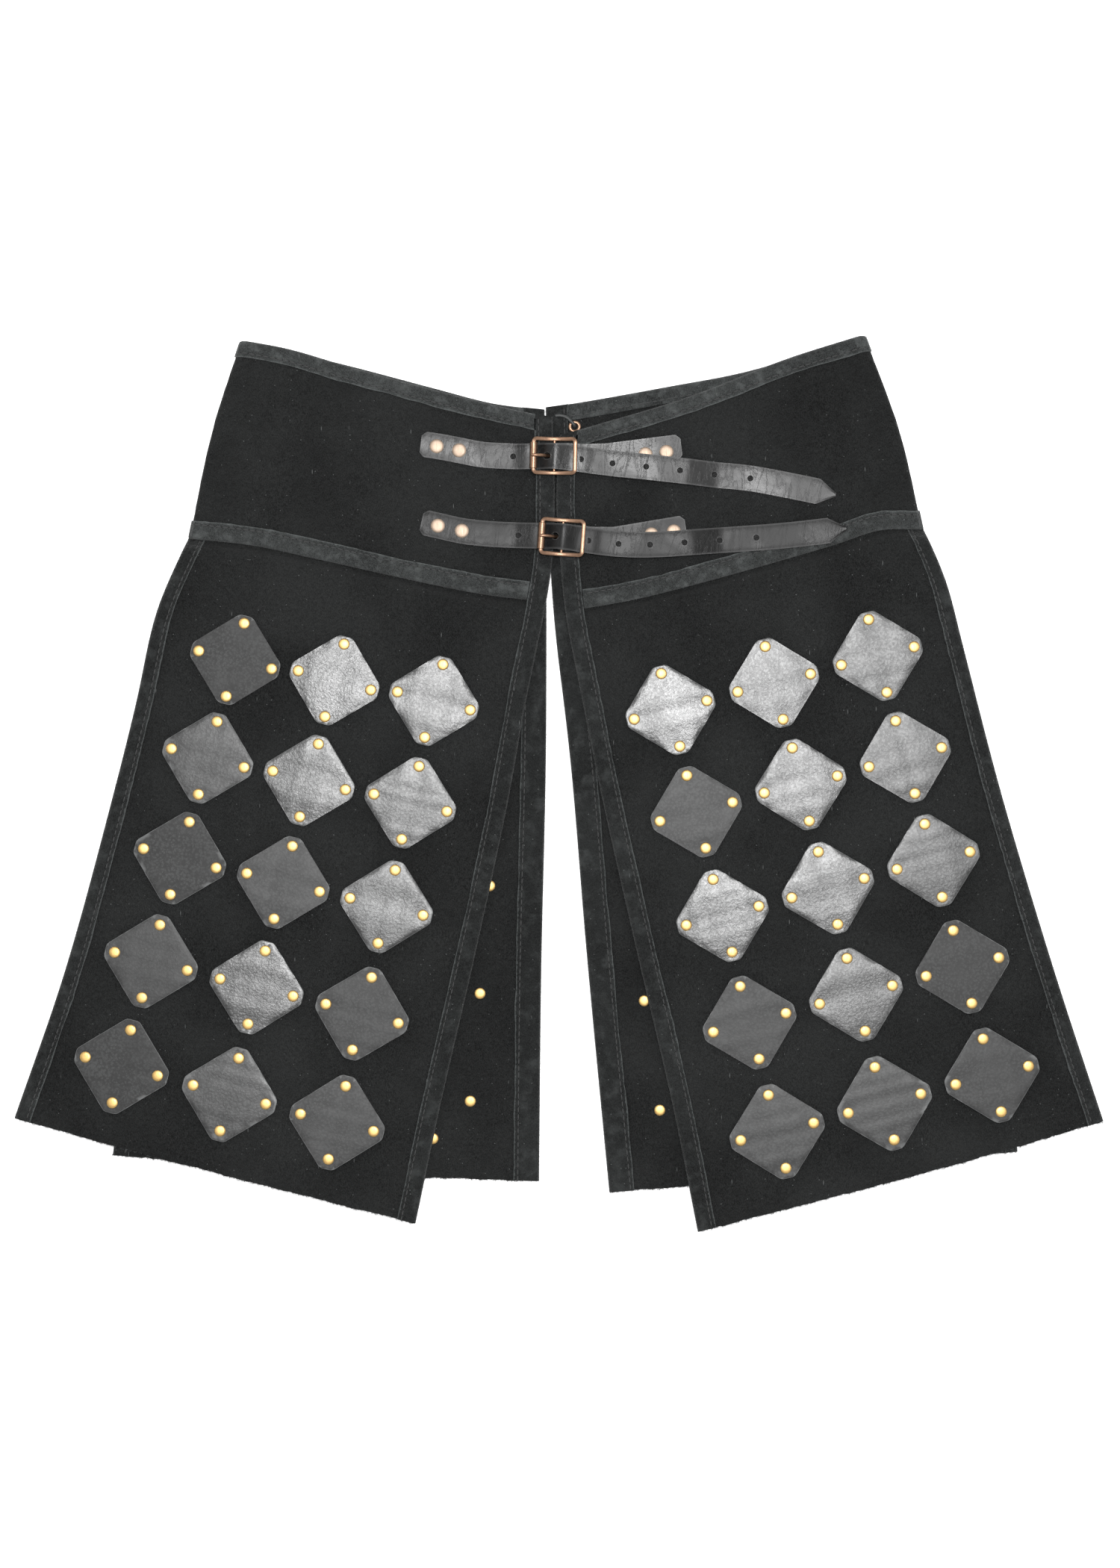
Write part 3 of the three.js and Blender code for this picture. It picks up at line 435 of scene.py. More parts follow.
tape_suede = {}
for kind, dark, light in (("waist", 0.006, 0.052), ("panel", 0.0015, 0.023)):
    tape_suede[kind], nodes, shader = new_material(kind + " tape suede", Roughness=1.0, Sheen_Weight=0.14,
                                                   Specular_IOR_Level=0.15, Sheen_Roughness=0.45)
    look = use_group(nodes, nap, Dark=grey(dark, 0.04), Light=grey(light, 0.05), Lint=grey(0.2, 0.04),
                     Lint_Amount=0.6)
    seam = use_group(nodes, sewn)
    place = nodes.place()
    rubbed = nodes.step(nodes.noise(place, 110, 5, 0.65), 0.45, 0.75, 0.0, 0.5)
    colour = nodes.mix(rubbed, look["Color"], grey(2.2 * light, 0.05))
    colour = nodes.mix(nodes.math("MULTIPLY", seam["Raw"], 0.45), colour, grey(0.12, 0.06))
    # painted shade: the groove and the needle pits are darker than the tape
    colour = nodes.mix(nodes.math("MULTIPLY", seam["Groove"], 0.12), colour, grey(0.008, 0.05))
    pits = nodes.math("MULTIPLY", seam["Pits"], 0.6)
    nodes.give(shader["Base Color"], nodes.mix(pits, colour, grey(0.003)))
    sunk = nodes.math("SUBTRACT", 1.0, nodes.math("ADD", nodes.math("MULTIPLY", seam["Groove"], 0.35),
                                                  nodes.math("MULTIPLY", seam["Pits"], 0.65), clamp=True))
    nodes.give(shader["Normal"], bump(nodes, look["Height"], 0.6, 1.0, bump(nodes, sunk, 0.7, 1.0)))

thread, nodes, shader = new_material("sewing thread", Roughness=0.7, Sheen_Weight=0.2)
strands = nodes.noise(nodes.place(), 1500, 2)
nodes.give(shader["Base Color"], nodes.mix(strands, grey(0.006, 0.04), grey(0.022, 0.05)))
print("suede materials:", suede.name, list(tape_suede), thread.name)

# %% [markdown]
# The plates are thick bridle leather, dyed black and polished, so what is seen is mostly the soft
# light they reflect. The wax lies on the tops of the grain and not in its valleys, which are painted
# darker as painted shade. No two plates are alike, so each carries a number of its own, called tone,
# that says how dull it is: dull ones are rougher and have less wax. The beveled rim is painted pale, a
# painted highlight. The cut edge is raw fibre, nearly without shine.

# %% Plate leather and its cut edge
plate_leather, nodes, shader = new_material("plate leather", Specular_IOR_Level=0.45,
                                            Coat_Roughness=0.32)
look = use_group(nodes, grain, Pebbles=620.0, Creases=26.0, Crease_Turn=0.6)
tone = nodes.mark("tone")
rim = nodes.mark("rim")
leather_colour = nodes.mix(look["Blotches"], grey(0.020, 0.02), grey(0.032, 0.02))
tops = nodes.step(look["Pebble Height"], -0.75, -0.3)
# painted shade: the valleys of the grain are darker than its tops
leather_colour = nodes.mix(tops, grey(0.010), leather_colour)
# painted highlight: the beveled rim is paler
leather_colour = nodes.mix(nodes.math("MULTIPLY", rim, 0.55), leather_colour, grey(0.17, 0.02))
nodes.give(shader["Base Color"], leather_colour)
polish = nodes.math("ADD", nodes.math("MULTIPLY", tone, 0.2), nodes.math("MULTIPLY", look["Blotches"], 0.04))
nodes.give(shader["Roughness"], nodes.math("ADD", polish, 0.30))
wax = nodes.math("MULTIPLY", nodes.step(tone, 0.0, 1.0, 0.82, 0.02), nodes.step(tops, 0.0, 1.0, 0.55, 1.0))
nodes.give(shader["Coat Weight"], nodes.math("MULTIPLY", wax, nodes.step(look["Blotches"], 0, 1, 1.0, 0.85)))
creased = bump(nodes, look["Crease Height"], 0.04, 0.2)
grained = nodes.math("MULTIPLY", look["Pebble Height"], nodes.step(tone, 0.2, 1.0, 1.0, 0.4))
nodes.give(shader["Normal"], bump(nodes, grained, 0.18, 1.0, creased))

cut_edge, nodes, shader = new_material("cut leather edge", Roughness=0.85, Specular_IOR_Level=0.3)
place = nodes.place()
frayed = nodes.noise(nodes.stretched(place, (1, 1, 0.35)), 1400, 4, 0.7)
nodes.give(shader["Base Color"], nodes.mix(nodes.step(frayed, 0.45, 0.8), grey(0.006), grey(0.07)))
nodes.give(shader["Normal"], bump(nodes, frayed, 0.3, 0.8))

# %% [markdown]
# The straps are thinner and glossier, the upper one most. They have been bent through the buckles, so
# their grain breaks into pale creases across them. The lace is a thin cord cut from the same hide.

# %% Strap leather and lace
strap_leather = {}
for name, shine in (("upper", 0.25), ("lower", 0.09)):
    strap_leather[name], nodes, shader = new_material(name + " strap leather", Specular_IOR_Level=shine,
                                                      Coat_Weight=0.03, Coat_Roughness=0.2)
    look = use_group(nodes, grain, Pebbles=560.0, Creases=130.0, Crease_Turn=0.15)
    worn = nodes.math("SUBTRACT", 1.0, look["Crease Height"])
    rim = nodes.mark("rim")
    leather_colour = nodes.mix(look["Blotches"], grey(0.006), grey(0.014))
    leather_colour = nodes.mix(nodes.math("MULTIPLY", worn, 0.03), leather_colour, grey(0.12))
    leather_colour = nodes.mix(nodes.math("MULTIPLY", rim, 0.35), leather_colour, grey(0.12))
    nodes.give(shader["Base Color"], leather_colour)
    nodes.give(shader["Roughness"], nodes.step(look["Blotches"], 0.0, 1.0, 0.30, 0.42))
    creased = bump(nodes, look["Crease Height"], 0.08, 0.45)
    nodes.give(shader["Normal"], bump(nodes, look["Pebble Height"], 0.10, 0.6, creased))

lace_leather, nodes, shader = new_material("lace leather", Roughness=0.55, Specular_IOR_Level=0.5)
twist = nodes.noise(nodes.place(), 900, 3)
nodes.give(shader["Base Color"], nodes.mix(twist, grey(0.012, 0.05), grey(0.05, 0.05)))
nodes.give(shader["Normal"], bump(nodes, twist, 0.2, 0.7))

# %% [markdown]
# The metal is thin plated steel. Each piece has a bright colour where it is rubbed and a brown one
# where the finish has aged, mixed by noise, and fine scratches that only change its roughness. The
# brown is also laid in full on the marked rim round a rivet cap's foot, as painted shade. The straps'
# rivet caps have a paler plating than the buckles.

# %% Brass and antique copper


def metal(name, bright, aged_and_shade_colour, roughness, patina):
    material, nodes, shader = new_material(name, Metallic=1.0)
    place = nodes.place()
    age_and_rim_shade = nodes.step(nodes.noise(place, 260, 4, 0.6), 0.45, 0.8)
    rim = nodes.mark("rim")
    # painted shade: the rim of a cap takes the full brown round its foot
    age_and_rim_shade = nodes.math("MAXIMUM", nodes.math("MULTIPLY", age_and_rim_shade, patina), rim)
    scratches = nodes.noise(nodes.stretched(place, (1, 0.06, 1), 0.4), 2600, 2)
    nodes.give(shader["Base Color"], nodes.mix(age_and_rim_shade, bright, aged_and_shade_colour))
    nodes.give(shader["Roughness"], nodes.step(scratches, 0.2, 0.8, roughness, roughness + 0.12))
    nodes.give(shader["Normal"], bump(nodes, nodes.noise(place, 700, 3), 0.05, 0.5))
    return material


brass = metal("brass", (0.56, 0.37, 0.14, 1), (0.24, 0.13, 0.04, 1), 0.38, 0.25)
copper = metal("antique copper", (0.27, 0.165, 0.11, 1), (0.07, 0.036, 0.024, 1), 0.34, 0.5)
pale_copper = metal("pale copper", (0.40, 0.31, 0.24, 1), (0.15, 0.10, 0.07, 1), 0.5, 0.25)
print("materials:", len(bpy.data.materials))

# %% [markdown]
# ## Making meshes
# A sheet starts as Blender's flat grid, and its points are then moved to their places. The grid gives
# even faces and costs one operator. Each piece keeps its object at the origin, with its place in its
# mesh. Meshes are also how one bmesh is added to another.

# %% From a grid of places to a mesh
rng = np.random.default_rng(7)


def bm_grid(places):
    """A bmesh grid with a vertex at each place of a rows x columns x 3 array in mm."""
    rows, columns = places.shape[:2]
    bm = bmesh.new()
    bmesh.ops.create_grid(bm, x_segments=columns - 1, y_segments=rows - 1, size=0.5)
    for vert, place in zip(bm.verts, places.reshape(-1, 3) * MM):
        vert.co = place
    return bm


def mesh_of(bm, name="template"):
    """Turns a bmesh into a mesh."""
    mesh = bpy.data.meshes.new(name)
    bm.to_mesh(mesh)
    bm.free()
    return mesh


def add_bm(target, source):
    """Moves what one bmesh holds into another."""
    mesh = mesh_of(source)
    target.from_mesh(mesh)
    bpy.data.meshes.remove(mesh)


def in_scene(name, data):
    """An object that shows a mesh, a light or a camera."""
    thing = bpy.data.objects.new(name, data)
    bpy.context.scene.collection.objects.link(thing)
    return thing


# %% [markdown]
# Every piece is finished the same way. Its modifiers are applied, its sharp edges are found by angle,
# and it is told which body it belongs to, which nodes of the fixed model it stands for and what it is
# made of.

# %% Finishing a piece and handing it over
SHARP = math.radians(38)
pieces = {}


def settle(name, bm, materials, modifiers=()):
    """Makes the object of a bmesh, applies the modifiers given and marks sharp edges."""
    name = "finished_" + name
    mesh = mesh_of(bm, name)
    for material in materials:
        mesh.materials.append(material)
    piece = in_scene(name, mesh)
    for kind, values in modifiers:
        modifier = piece.modifiers.new(kind, kind)
        for key, value in values.items():
            setattr(modifier, key, value)
    if modifiers:
        shaped = piece.evaluated_get(bpy.context.evaluated_depsgraph_get())
        piece.data = bpy.data.meshes.new_from_object(shaped)
        piece.modifiers.clear()
        piece.data.name = name
    piece.data.shade_smooth()
    piece.data.set_sharp_from_angle(angle=SHARP)
    return piece


def hand_over(piece, slot, *nodes):
    """Joins a finished piece to the model: its body and the nodes it stands for. slot, the name of its
    finish, is not used.
    """
    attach(piece, "root")
    if nodes:
        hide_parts(*nodes)
    pieces[piece.name.removeprefix("finished_")] = piece
    return piece


def thick(thickness):
    return [("SOLIDIFY", {"thickness": thickness * MM, "offset": 0.0, "use_even_offset": False})]


# %% [markdown]
# Nothing cut by hand is quite straight. A slow wave with a few random turns in it moves an edge or a
# surface by a fraction of a millimetre. The random numbers come from one seeded generator, so the
# skirt comes out the same every time.

# %% Slow random waves


def wobble(length, size, waves=9):
    """A smooth random wave: a function of distance in mm, with a height of about size."""
    spacing = rng.uniform(length / 60, length / 4, waves)
    phase = rng.uniform(0, 2 * np.pi, waves)
    return lambda x: size * sum(np.sin(2 * np.pi * x / s + p) for s, p in zip(spacing, phase)) / waves ** 0.5


def walk(places):
    """Distance along a line of places."""
    steps = np.linalg.norm(np.diff(places, axis=0), axis=1)
    return np.concatenate([[0], np.cumsum(steps)])


def soften(places, times):
    """Smooths the rows of an array between its ends."""
    for _ in range(times):
        places[1:-1] = (places[:-2] + 2 * places[1:-1] + places[2:]) / 4


def resample(places, spacing):
    """The rows of a rows x columns x 3 array, evenly spaced along its middle column."""
    walked = walk(places[:, places.shape[1] // 2])
    wanted = np.linspace(0, walked[-1], int(walked[-1] / spacing) + 2)
    rows = read_along(wanted, walked, places.reshape(len(places), -1))
    return rows.reshape(len(wanted), *places.shape[1:]), wanted


# %% [markdown]
# ## The waistband
# Each half of the waistband is one length of suede that runs over the front, folds round at the side
# and comes back behind. One number, s, walks that way: 0 to 1 over the front, 1 to 2 round the fold
# and 2 to 3 over the back. The second, w, is the distance from the top edge, or from the lower edge
# where it is negative, and n is the distance off the inner face. Everything sewn on is placed by them.

# %% The waistband's surface
CLOTH_INSET = OVER_TAPE + 0.3      # a bound edge of cloth stops this far short of the outline


def waist_surface(half):
    room = np.array([half["out"] * (FOLD_INSIDE + CLOTH + OVER_TAPE), 0.0])
    fold_line = smooth_line(half["fold"])

    def drawn_in(points):
        line = smooth_line(points)
        return lambda u: line(u) - np.asarray(u, float)[..., None] * room

    def fold_middle(v):
        return fold_line(v) - room

    front = patch(drawn_in(half["waist_top"]), drawn_in(half["waist_low"]),
                  smooth_line(half["waist_front"]), fold_middle)
    back = patch(drawn_in(half["back_top"]), drawn_in(half["back_low"]),
                 smooth_line(half["back_edge"]), fold_middle)

    def at(s, w, n):
        s, w, n = np.broadcast_arrays(*(np.asarray(value, float) for value in (s, w, n)))
        u = np.clip(np.where(s >= 2, 3 - s, s), 0, 1)
        behind = (s >= 2)[..., None]
        top = np.where(behind, back(u, 0 * u), front(u, 0 * u))
        low = np.where(behind, back(u, 0 * u + 1), front(u, 0 * u + 1))
        v = w / np.linalg.norm(low - top, axis=-1)
        v = np.where(w >= 0, v, 1 + v)
        flat = np.where(behind, back(u, v), front(u, v))
        angle = np.clip(s - 1, 0, 1) * np.pi
        radius = FOLD_INSIDE + n
        flat[..., 0] += half["out"] * radius * np.sin(angle)
        return lifted(flat, FOLD_HEIGHT + radius * np.cos(angle))

    def width(surface):
        return float(np.linalg.norm(surface(0, 0.5) - surface(1, 0.5)))

    return {"at": at, "front": front, "back": back, "front_width": width(front), "back_width": width(back)}


def stations_round(surface, start_gap, end_gap, spacing=4.0):
    """Values of s round a waistband, from a distance off its opening to one off its centre back."""
    front_steps = int(surface["front_width"] / spacing)
    start = start_gap / surface["front_width"]
    end = 3 - end_gap / surface["back_width"]
    front, back = spread(start, 1, front_steps), spread(2, end, front_steps)[1:]
    return np.concatenate([front, spread(1, 2, 12)[1:], back])


WAIST = {side: waist_surface(half) for side, half in HALVES.items()}
print("waistband widths:", {side: round(w["front_width"] + w["back_width"]) for side, w in WAIST.items()})

# %% [markdown]
# The wall itself is a grid with Solidify for its thickness. Hide is springy and never lies dead flat,
# so the wall bulges by a few tenths of a millimetre between its tapes.

# %% The waistband walls
HALF_WALL = 60                     # depth at which w changes from the top edge to the lower one
BULGE = 0.096                      # height of the wall's slow waves

for side, surface in WAIST.items():
    s = stations_round(surface, CLOTH_INSET, CLOTH_INSET)
    depth = np.concatenate([spread(CLOTH_INSET, HALF_WALL, 14), -spread(HALF_WALL, CLOTH_INSET, 14)])
    grid_s, grid_w = np.meshgrid(s, depth, indexing="ij")
    bulge = wobble(300, BULGE)(grid_s * 200) + wobble(120, BULGE)(grid_w + grid_s * 60)
    piece = settle("waistband_" + side, bm_grid(surface["at"](grid_s, grid_w, CLOTH / 2 + bulge)),
                   [suede], thick(CLOTH))
    hand_over(piece, "suede", "waistband_" + side)
    print(piece.name, len(piece.data.polygons), "faces")

# %% [markdown]
# ## Tapes
# A binding tape is folded over an edge, so across it is a U laid on its side: an upper leg, a round
# fold and an under leg. The shape across is worked out once, as pairs of w, the distance in from the
# outline, and n, the height off the middle of the cloth. It is then carried along the edge. The outside
# of the fold lies on the outline.

# %% A tape's shape across, in millimetres
TOP_TAPE = 11                      # reach of the waist's upper tape on both faces
LOW_TAPE = 12.5                    # reach of the lower band on the outer face
LOW_TAPE_INSIDE = 6
EDGE_TAPE = 12.5                   # down the front opening
SIDE_TAPE = 11
BACK_TAPE = 17                     # down the centre back
BACK_TAPE_AT_WAIST = 14.5
HIDDEN_LEG = 7                     # reach of a long tape on its hidden face
TAPE_MEETING = 1.8                 # the waist's tapes stop this far short of the centre back's tapes
TAPE_OFF = CLOTH / 2 + GAP + TAPE / 2   # from the middle of the cloth to the middle of a tape's leg
TAPE_STEP = 3.4                    # spacing of the rows along a tape


def u_section(upper_leg, under_leg, half_gap):
    """w and n along the middle of a folded tape, and the distance in from its upper raw edge."""
    start = half_gap + TAPE / 2
    upper = np.stack([spread(upper_leg, start, 8), np.full(9, half_gap)], -1)
    turn = spread(np.pi / 2, -np.pi / 2, 8)[1:-1]
    bend = np.stack([start - half_gap * np.cos(turn), half_gap * np.sin(turn)], -1)
    under = np.stack([spread(start, under_leg, 4), np.full(5, -half_gap)], -1)
    section = np.concatenate([upper, bend, under])
    return section, walk(section)


def flat_map(piece_mesh, columns, along, across):
    """Writes a tape's own flat map: u along it and v in from its raw edge, in metres."""
    layer = piece_mesh.loops.layers.uv.new("tape map")
    piece_mesh.verts.index_update()
    for face in piece_mesh.faces:
        for loop in face.loops:
            row, column = divmod(loop.vert.index, columns)
            loop[layer].uv = (along[row] * MM, across[column] * MM)


front_tape_width = u_section(EDGE_TAPE, HIDDEN_LEG, TAPE_OFF)[1][-1]
print("a front tape laid flat is", round(front_tape_width, 1), "mm wide")

# %% [markdown]
# Two seams hold each tape, one on each leg, and the fold between them is where fibres stand out. Both
# are noted now, while the tape's places are at hand, and sewn later. A seam's outward side is the one
# that points away from the tape's far leg.

# %% Noting where stitches and fibres go
THREAD = 0.42                      # radius of the sewing thread
STITCH_SPAN = (0.62, 1.38)         # a stitch's two ends, in stitch lengths after a needle hole
stitch_places = {}
fuzz_places = {}


def note_fuzz(name, places, column):
    """Notes the line of a tape's fold, or of a hem, where loose fibres of the nap stand out."""
    line = places[:, column]
    fuzz_places[name] = (line, unit(line - places[:, column - 4]))


def sew(name, places, across, column_at, distance):
    """Notes where a seam's stitches lie: between needle pits, on the outer face of one leg of a tape."""
    column = int(np.searchsorted(across, column_at)) - 1
    share = (column_at - across[column]) / (across[column + 1] - across[column])
    seam = places[:, column] * (1 - share) + places[:, column + 1] * share
    outward = unit(np.cross(np.gradient(seam, axis=0), places[:, column + 1] - places[:, column]))
    far_leg = places[:, -1] if column_at < across[-1] / 2 else places[:, 0]
    outward *= -np.sign((outward * (far_leg - seam)).sum(-1, keepdims=True))
    seam = seam + outward * (TAPE / 2 + THREAD * 0.25)
    seam[:, 2] = np.maximum(seam[:, 2], THREAD + 0.05)
    holes = np.arange(0, distance[-1] - STITCH_LENGTH, STITCH_LENGTH)
    starts, ends = (read_along(holes + far * STITCH_LENGTH, distance, seam) for far in STITCH_SPAN)
    leans = read_along(holes + STITCH_LENGTH, distance, outward)
    stitch_places.setdefault(name, []).extend(zip(starts, ends, leans))


# %% [markdown]
# A tape was cut by hand, so its upper raw edge wavers. The wave moves only the first column of places,
# so the fold stays true.

# %% Finishing a tape


def tape_piece(name, places, across):
    """Finishes a tape from its places, rows along it and columns across it."""
    soften(places, 2)
    places, along = resample(places, TAPE_STEP)
    edge_wave = wobble(along[-1] + 60, 0.28)(along) + wobble(60, 0.10)(along)
    places[:, 0] += unit(places[:, 0] - places[:, 1]) * edge_wave[:, None]
    bm = bm_grid(places)
    flat_map(bm, places.shape[1], along, across)
    kind = "waist" if name.startswith("waist") else "panel"
    piece = settle(name, bm, [tape_suede[kind]], thick(TAPE))
    hand_over(piece, "suede_binding", name)
    sew(name, places, across, STITCH_INSET, along)
    sew(name, places, across, across[-1] - STITCH_INSET, along)
    note_fuzz(name, places, len(across) // 2)
    return piece


# %% [markdown]
# The two tapes of the waistband follow its surface: they run over the front, round the side fold and
# over the back. The lower band reaches further down on the outer face, where it covers the seam.

# %% The tapes round the waist's top and lower edges
for side, surface in WAIST.items():
    s = stations_round(surface, EDGE_TAPE + GAP, BACK_TAPE_AT_WAIST + TAPE_MEETING)
    for name, sign, outer_leg, inner_leg in (("waist_top_binding_", 1, TOP_TAPE, TOP_TAPE),
                                             ("waist_lower_band_", -1, LOW_TAPE, LOW_TAPE_INSIDE)):
        section, across = u_section(outer_leg, inner_leg, TAPE_OFF)
        grid_s, grid_w = np.meshgrid(s, section[:, 0], indexing="ij")
        grid_n = np.broadcast_to(section[:, 1], grid_w.shape) + CLOTH / 2
        piece = tape_piece(name + side, surface["at"](grid_s, sign * grid_w, grid_n), across)
        print(piece.name, len(piece.data.polygons), "faces")

# %% [markdown]
# ## The panels
# A panel hangs from the waistband's seam. Its cloth is filled in between its four edges as before. A
# front panel lies over the back one and slopes down to the table past its side edge, and at the top it
# dips under the band that covers the seam.

# %% The panels' surfaces
PANEL_DROP = 1                     # a panel starts this far below the waistband
DIP = 4.4                          # how far a front panel's top edge drops under the band
DIP_LENGTH = 6.5
UNDER_BAND = 3.5                   # how far it goes on under the band
SLOPE_START = 2                    # it starts to fall this far past the back panel's side edge


def panel_surface(half, which):
    low_line = half["waist_low" if which == "front" else "back_low"]
    inner, outer, hem = (half[f"{which}_{edge}"] for edge in ("inner", "outer", "hem"))
    lowered = [(x, y - PANEL_DROP) for x, y in low_line]
    first_lowered = [[(p[0][0], p[0][1] - PANEL_DROP)] + p[1:] for p in (inner, outer)]
    within = patch(smooth_line(lowered), smooth_line(hem), *(smooth_line(p) for p in first_lowered))

    def flat(u, v):
        """Places on the panel, carried straight on above its top edge where v is under 0."""
        v = np.asarray(v, float)
        above = 2 * within(u, 0 * v) - within(u, np.abs(v))
        return np.where(np.broadcast_to(v, above.shape[:-1])[..., None] < 0, above, within(u, v))

    def width(v):
        return np.linalg.norm(flat(0 * v, v) - flat(0 * v + 1, v), axis=-1)

    def height(u):
        return np.linalg.norm(flat(u, 0 * u) - flat(u, 0 * u + 1), axis=-1)

    def level(place):
        if which == "back":
            return np.full(place.shape[:-1], BACK_PANEL)
        (top_x, top_y), (hem_x, hem_y) = half["back_outer"]
        share = (top_y - place[..., 1]) / (top_y - hem_y)
        back_edge = np.abs(top_x + (hem_x - top_x) * share)
        return FRONT_PANEL - SIDE_SLOPE * np.maximum(0, np.abs(place[..., 0]) - back_edge - SLOPE_START)

    return {"flat": flat, "width": width, "height": height, "level": level}


PANELS = {(which, side): panel_surface(half, which)
          for side, half in HALVES.items() for which in ("front", "back")}


def dip(distance):
    """How far a front panel's cloth lies below its own level, this far below the waistband."""
    share = np.clip(1 - distance / DIP_LENGTH, 0, 1)
    return DIP * share ** 2 * (3 - 2 * share)


def panel_places(panel, which, v, inset, columns):
    """Rows of places down a panel, from one side edge to the other, less an inset at both."""
    width = panel["width"](v)[:, None]
    share = spread(0, 1, columns)[None, :]
    u = (inset * (1 - share) + (width - inset) * share) / width
    grid_v = np.broadcast_to(v[:, None], u.shape)
    flat = panel["flat"](u, grid_v)
    level = panel["level"](flat) + CLOTH / 2
    if which == "front":
        level = level - dip(grid_v * panel["height"](u))
    return lifted(flat, level)


for (which, side), panel in PANELS.items():
    print(which, "panel", side, round(float(panel["height"](np.array(0.5)))), "mm long at its middle")

# %% [markdown]
# The hem is the one edge with no tape: it was cut with shears and left raw, so it wanders a little and
# its fibres stand out. The rows of the grid are packed close near the hem so that it can be ragged.

# %% The panels' cloth
RAGGED = 0.13                      # how far the hem's fibres stand out, mm

for (which, side), panel in PANELS.items():
    top = -UNDER_BAND / float(panel["height"](np.array(0.5))) if which == "front" else 0.0
    v = np.concatenate([spread(top, 0.03, 8), spread(0.03, 0.97, 70)[1:], spread(0.97, 1, 6)[1:]])
    places = panel_places(panel, which, v, CLOTH_INSET, 240)
    u_distance = walk(places[-1])
    fringe = wobble(u_distance[-1], 0.25)(u_distance) + rng.normal(0, RAGGED, len(u_distance))
    places[-1, :, 1] += fringe
    x, y = places[..., 0], places[..., 1]
    ripple = wobble(260, 0.22)(x + 0.4 * y) + wobble(200, 0.18)(y - 0.3 * x)
    fade = np.clip((v - 0.05) / 0.2, 0, 1)[:, None]
    places[..., 2] += 0.5 * ripple * fade
    name = f"{which}_panel_{side}"
    hem_out = np.broadcast_to([0.0, -1.0, 0.0], places[-1].shape)
    fuzz_places[name] = (places[-1], hem_out)
    piece = settle(name, bm_grid(places), [suede], thick(CLOTH))
    hand_over(piece, "suede", name)
    print(piece.name, len(piece.data.polygons), "faces")

# %% [markdown]
# A long tape binds the opening in one length: down the end of the waistband, across the seam and on
# down the panel. Its rows start as places on the waistband and end as places on the panel, and they
# are smoothed along the length, so the tape climbs from one level to the other as cloth does.

# %% The tapes down the opening, the centre back and the sides
CLIMB = 7                          # a long tape leaves the waistband this far above its lower edge
SQUEEZE = 0.8                      # how far a side tape is pressed flat where it dips
SIDE_SLACK = 0.18                  # a side tape stands this much further off its cloth


def long_tape(side, which, upper_leg, wall_level, panel_level):
    surface, panel = WAIST[side], PANELS[which, side]
    waist = surface[which]
    section, across = u_section(upper_leg, HIDDEN_LEG, TAPE_OFF)
    narrow = section[:, 0] * min(1, BACK_TAPE_AT_WAIST / upper_leg)
    rows = []
    waist_height = np.linalg.norm(waist(0.0, 0.0) - waist(0.0, 1.0))
    for v in spread(0, 1 - CLIMB / waist_height, 16):
        width = np.linalg.norm(waist(0.0, v) - waist(1.0, v))
        flat = waist(narrow / width, np.full(len(section), v))
        rows.append(lifted(flat, wall_level + CLOTH / 2 + section[:, 1]))
    for v in spread(0.02, 1, 56):
        width = panel["width"](np.array([v]))
        flat = panel["flat"](section[:, 0] / width, np.full(len(section), v))
        rows.append(lifted(flat, panel_level + CLOTH / 2 + section[:, 1]))
    tape_piece(f"{which}_edge_binding_{side}", np.stack(rows), across)


def side_tape(side, which):
    panel = PANELS[which, side]
    section, across = u_section(SIDE_TAPE, HIDDEN_LEG, TAPE_OFF + SIDE_SLACK)
    height = float(panel["height"](np.array(1.0)))
    top = -UNDER_BAND / height if which == "front" else 0.0
    v = np.concatenate([spread(top, 0.05, 14), spread(0.05, 1, 60)[1:]])
    width = panel["width"](np.maximum(v, 0))[:, None]
    grid_v = np.broadcast_to(v[:, None], (len(v), len(section)))
    flat = panel["flat"](1 - section[None, :, 0] / width, grid_v)
    sunk = dip(grid_v * height) if which == "front" else 0 * grid_v
    squeezed = 1 - SQUEEZE * sunk / DIP
    level = panel["level"](flat) + CLOTH / 2 + section[None, :, 1] * squeezed - sunk
    tape_piece(f"{which}_side_binding_{side}", lifted(flat, level), across)


for side in HALVES:
    long_tape(side, "front", EDGE_TAPE, FRONT_WALL, FRONT_PANEL)
    long_tape(side, "back", BACK_TAPE, BACK_WALL, BACK_PANEL)
    side_tape(side, "front")
    side_tape(side, "back")
print("tapes:", sum("binding" in name or "band_" in name for name in pieces))

# %% [markdown]
# The stitches are real pieces of thread that lie between the needle pits. There are over a thousand, so
# one short rounded stick is modelled with few faces and copied, turned along its seam each time, into
# one mesh for all the stitches of each half.

# %% Stitches


def stick(length, radius, sides=6):
    """A short thread along x, pointed at both ends, as a mesh to copy."""
    bm = bmesh.new()
    bmesh.ops.create_uvsphere(bm, u_segments=sides, v_segments=6, radius=1)
    bmesh.ops.rotate(bm, verts=bm.verts, cent=(0, 0, 0), matrix=Matrix.Rotation(math.pi / 2, 3, "Y"))
    bmesh.ops.scale(bm, verts=bm.verts, vec=(length / 2 * MM, radius * MM, radius * MM))
    return mesh_of(bm)


def joined_copies(template, matrices):
    """One bmesh that holds a copy of a mesh for each matrix."""
    bm = bmesh.new()
    for matrix in matrices:
        copy = template.copy()
        copy.transform(matrix)
        bm.from_mesh(copy)
        bpy.data.meshes.remove(copy)
    return bm


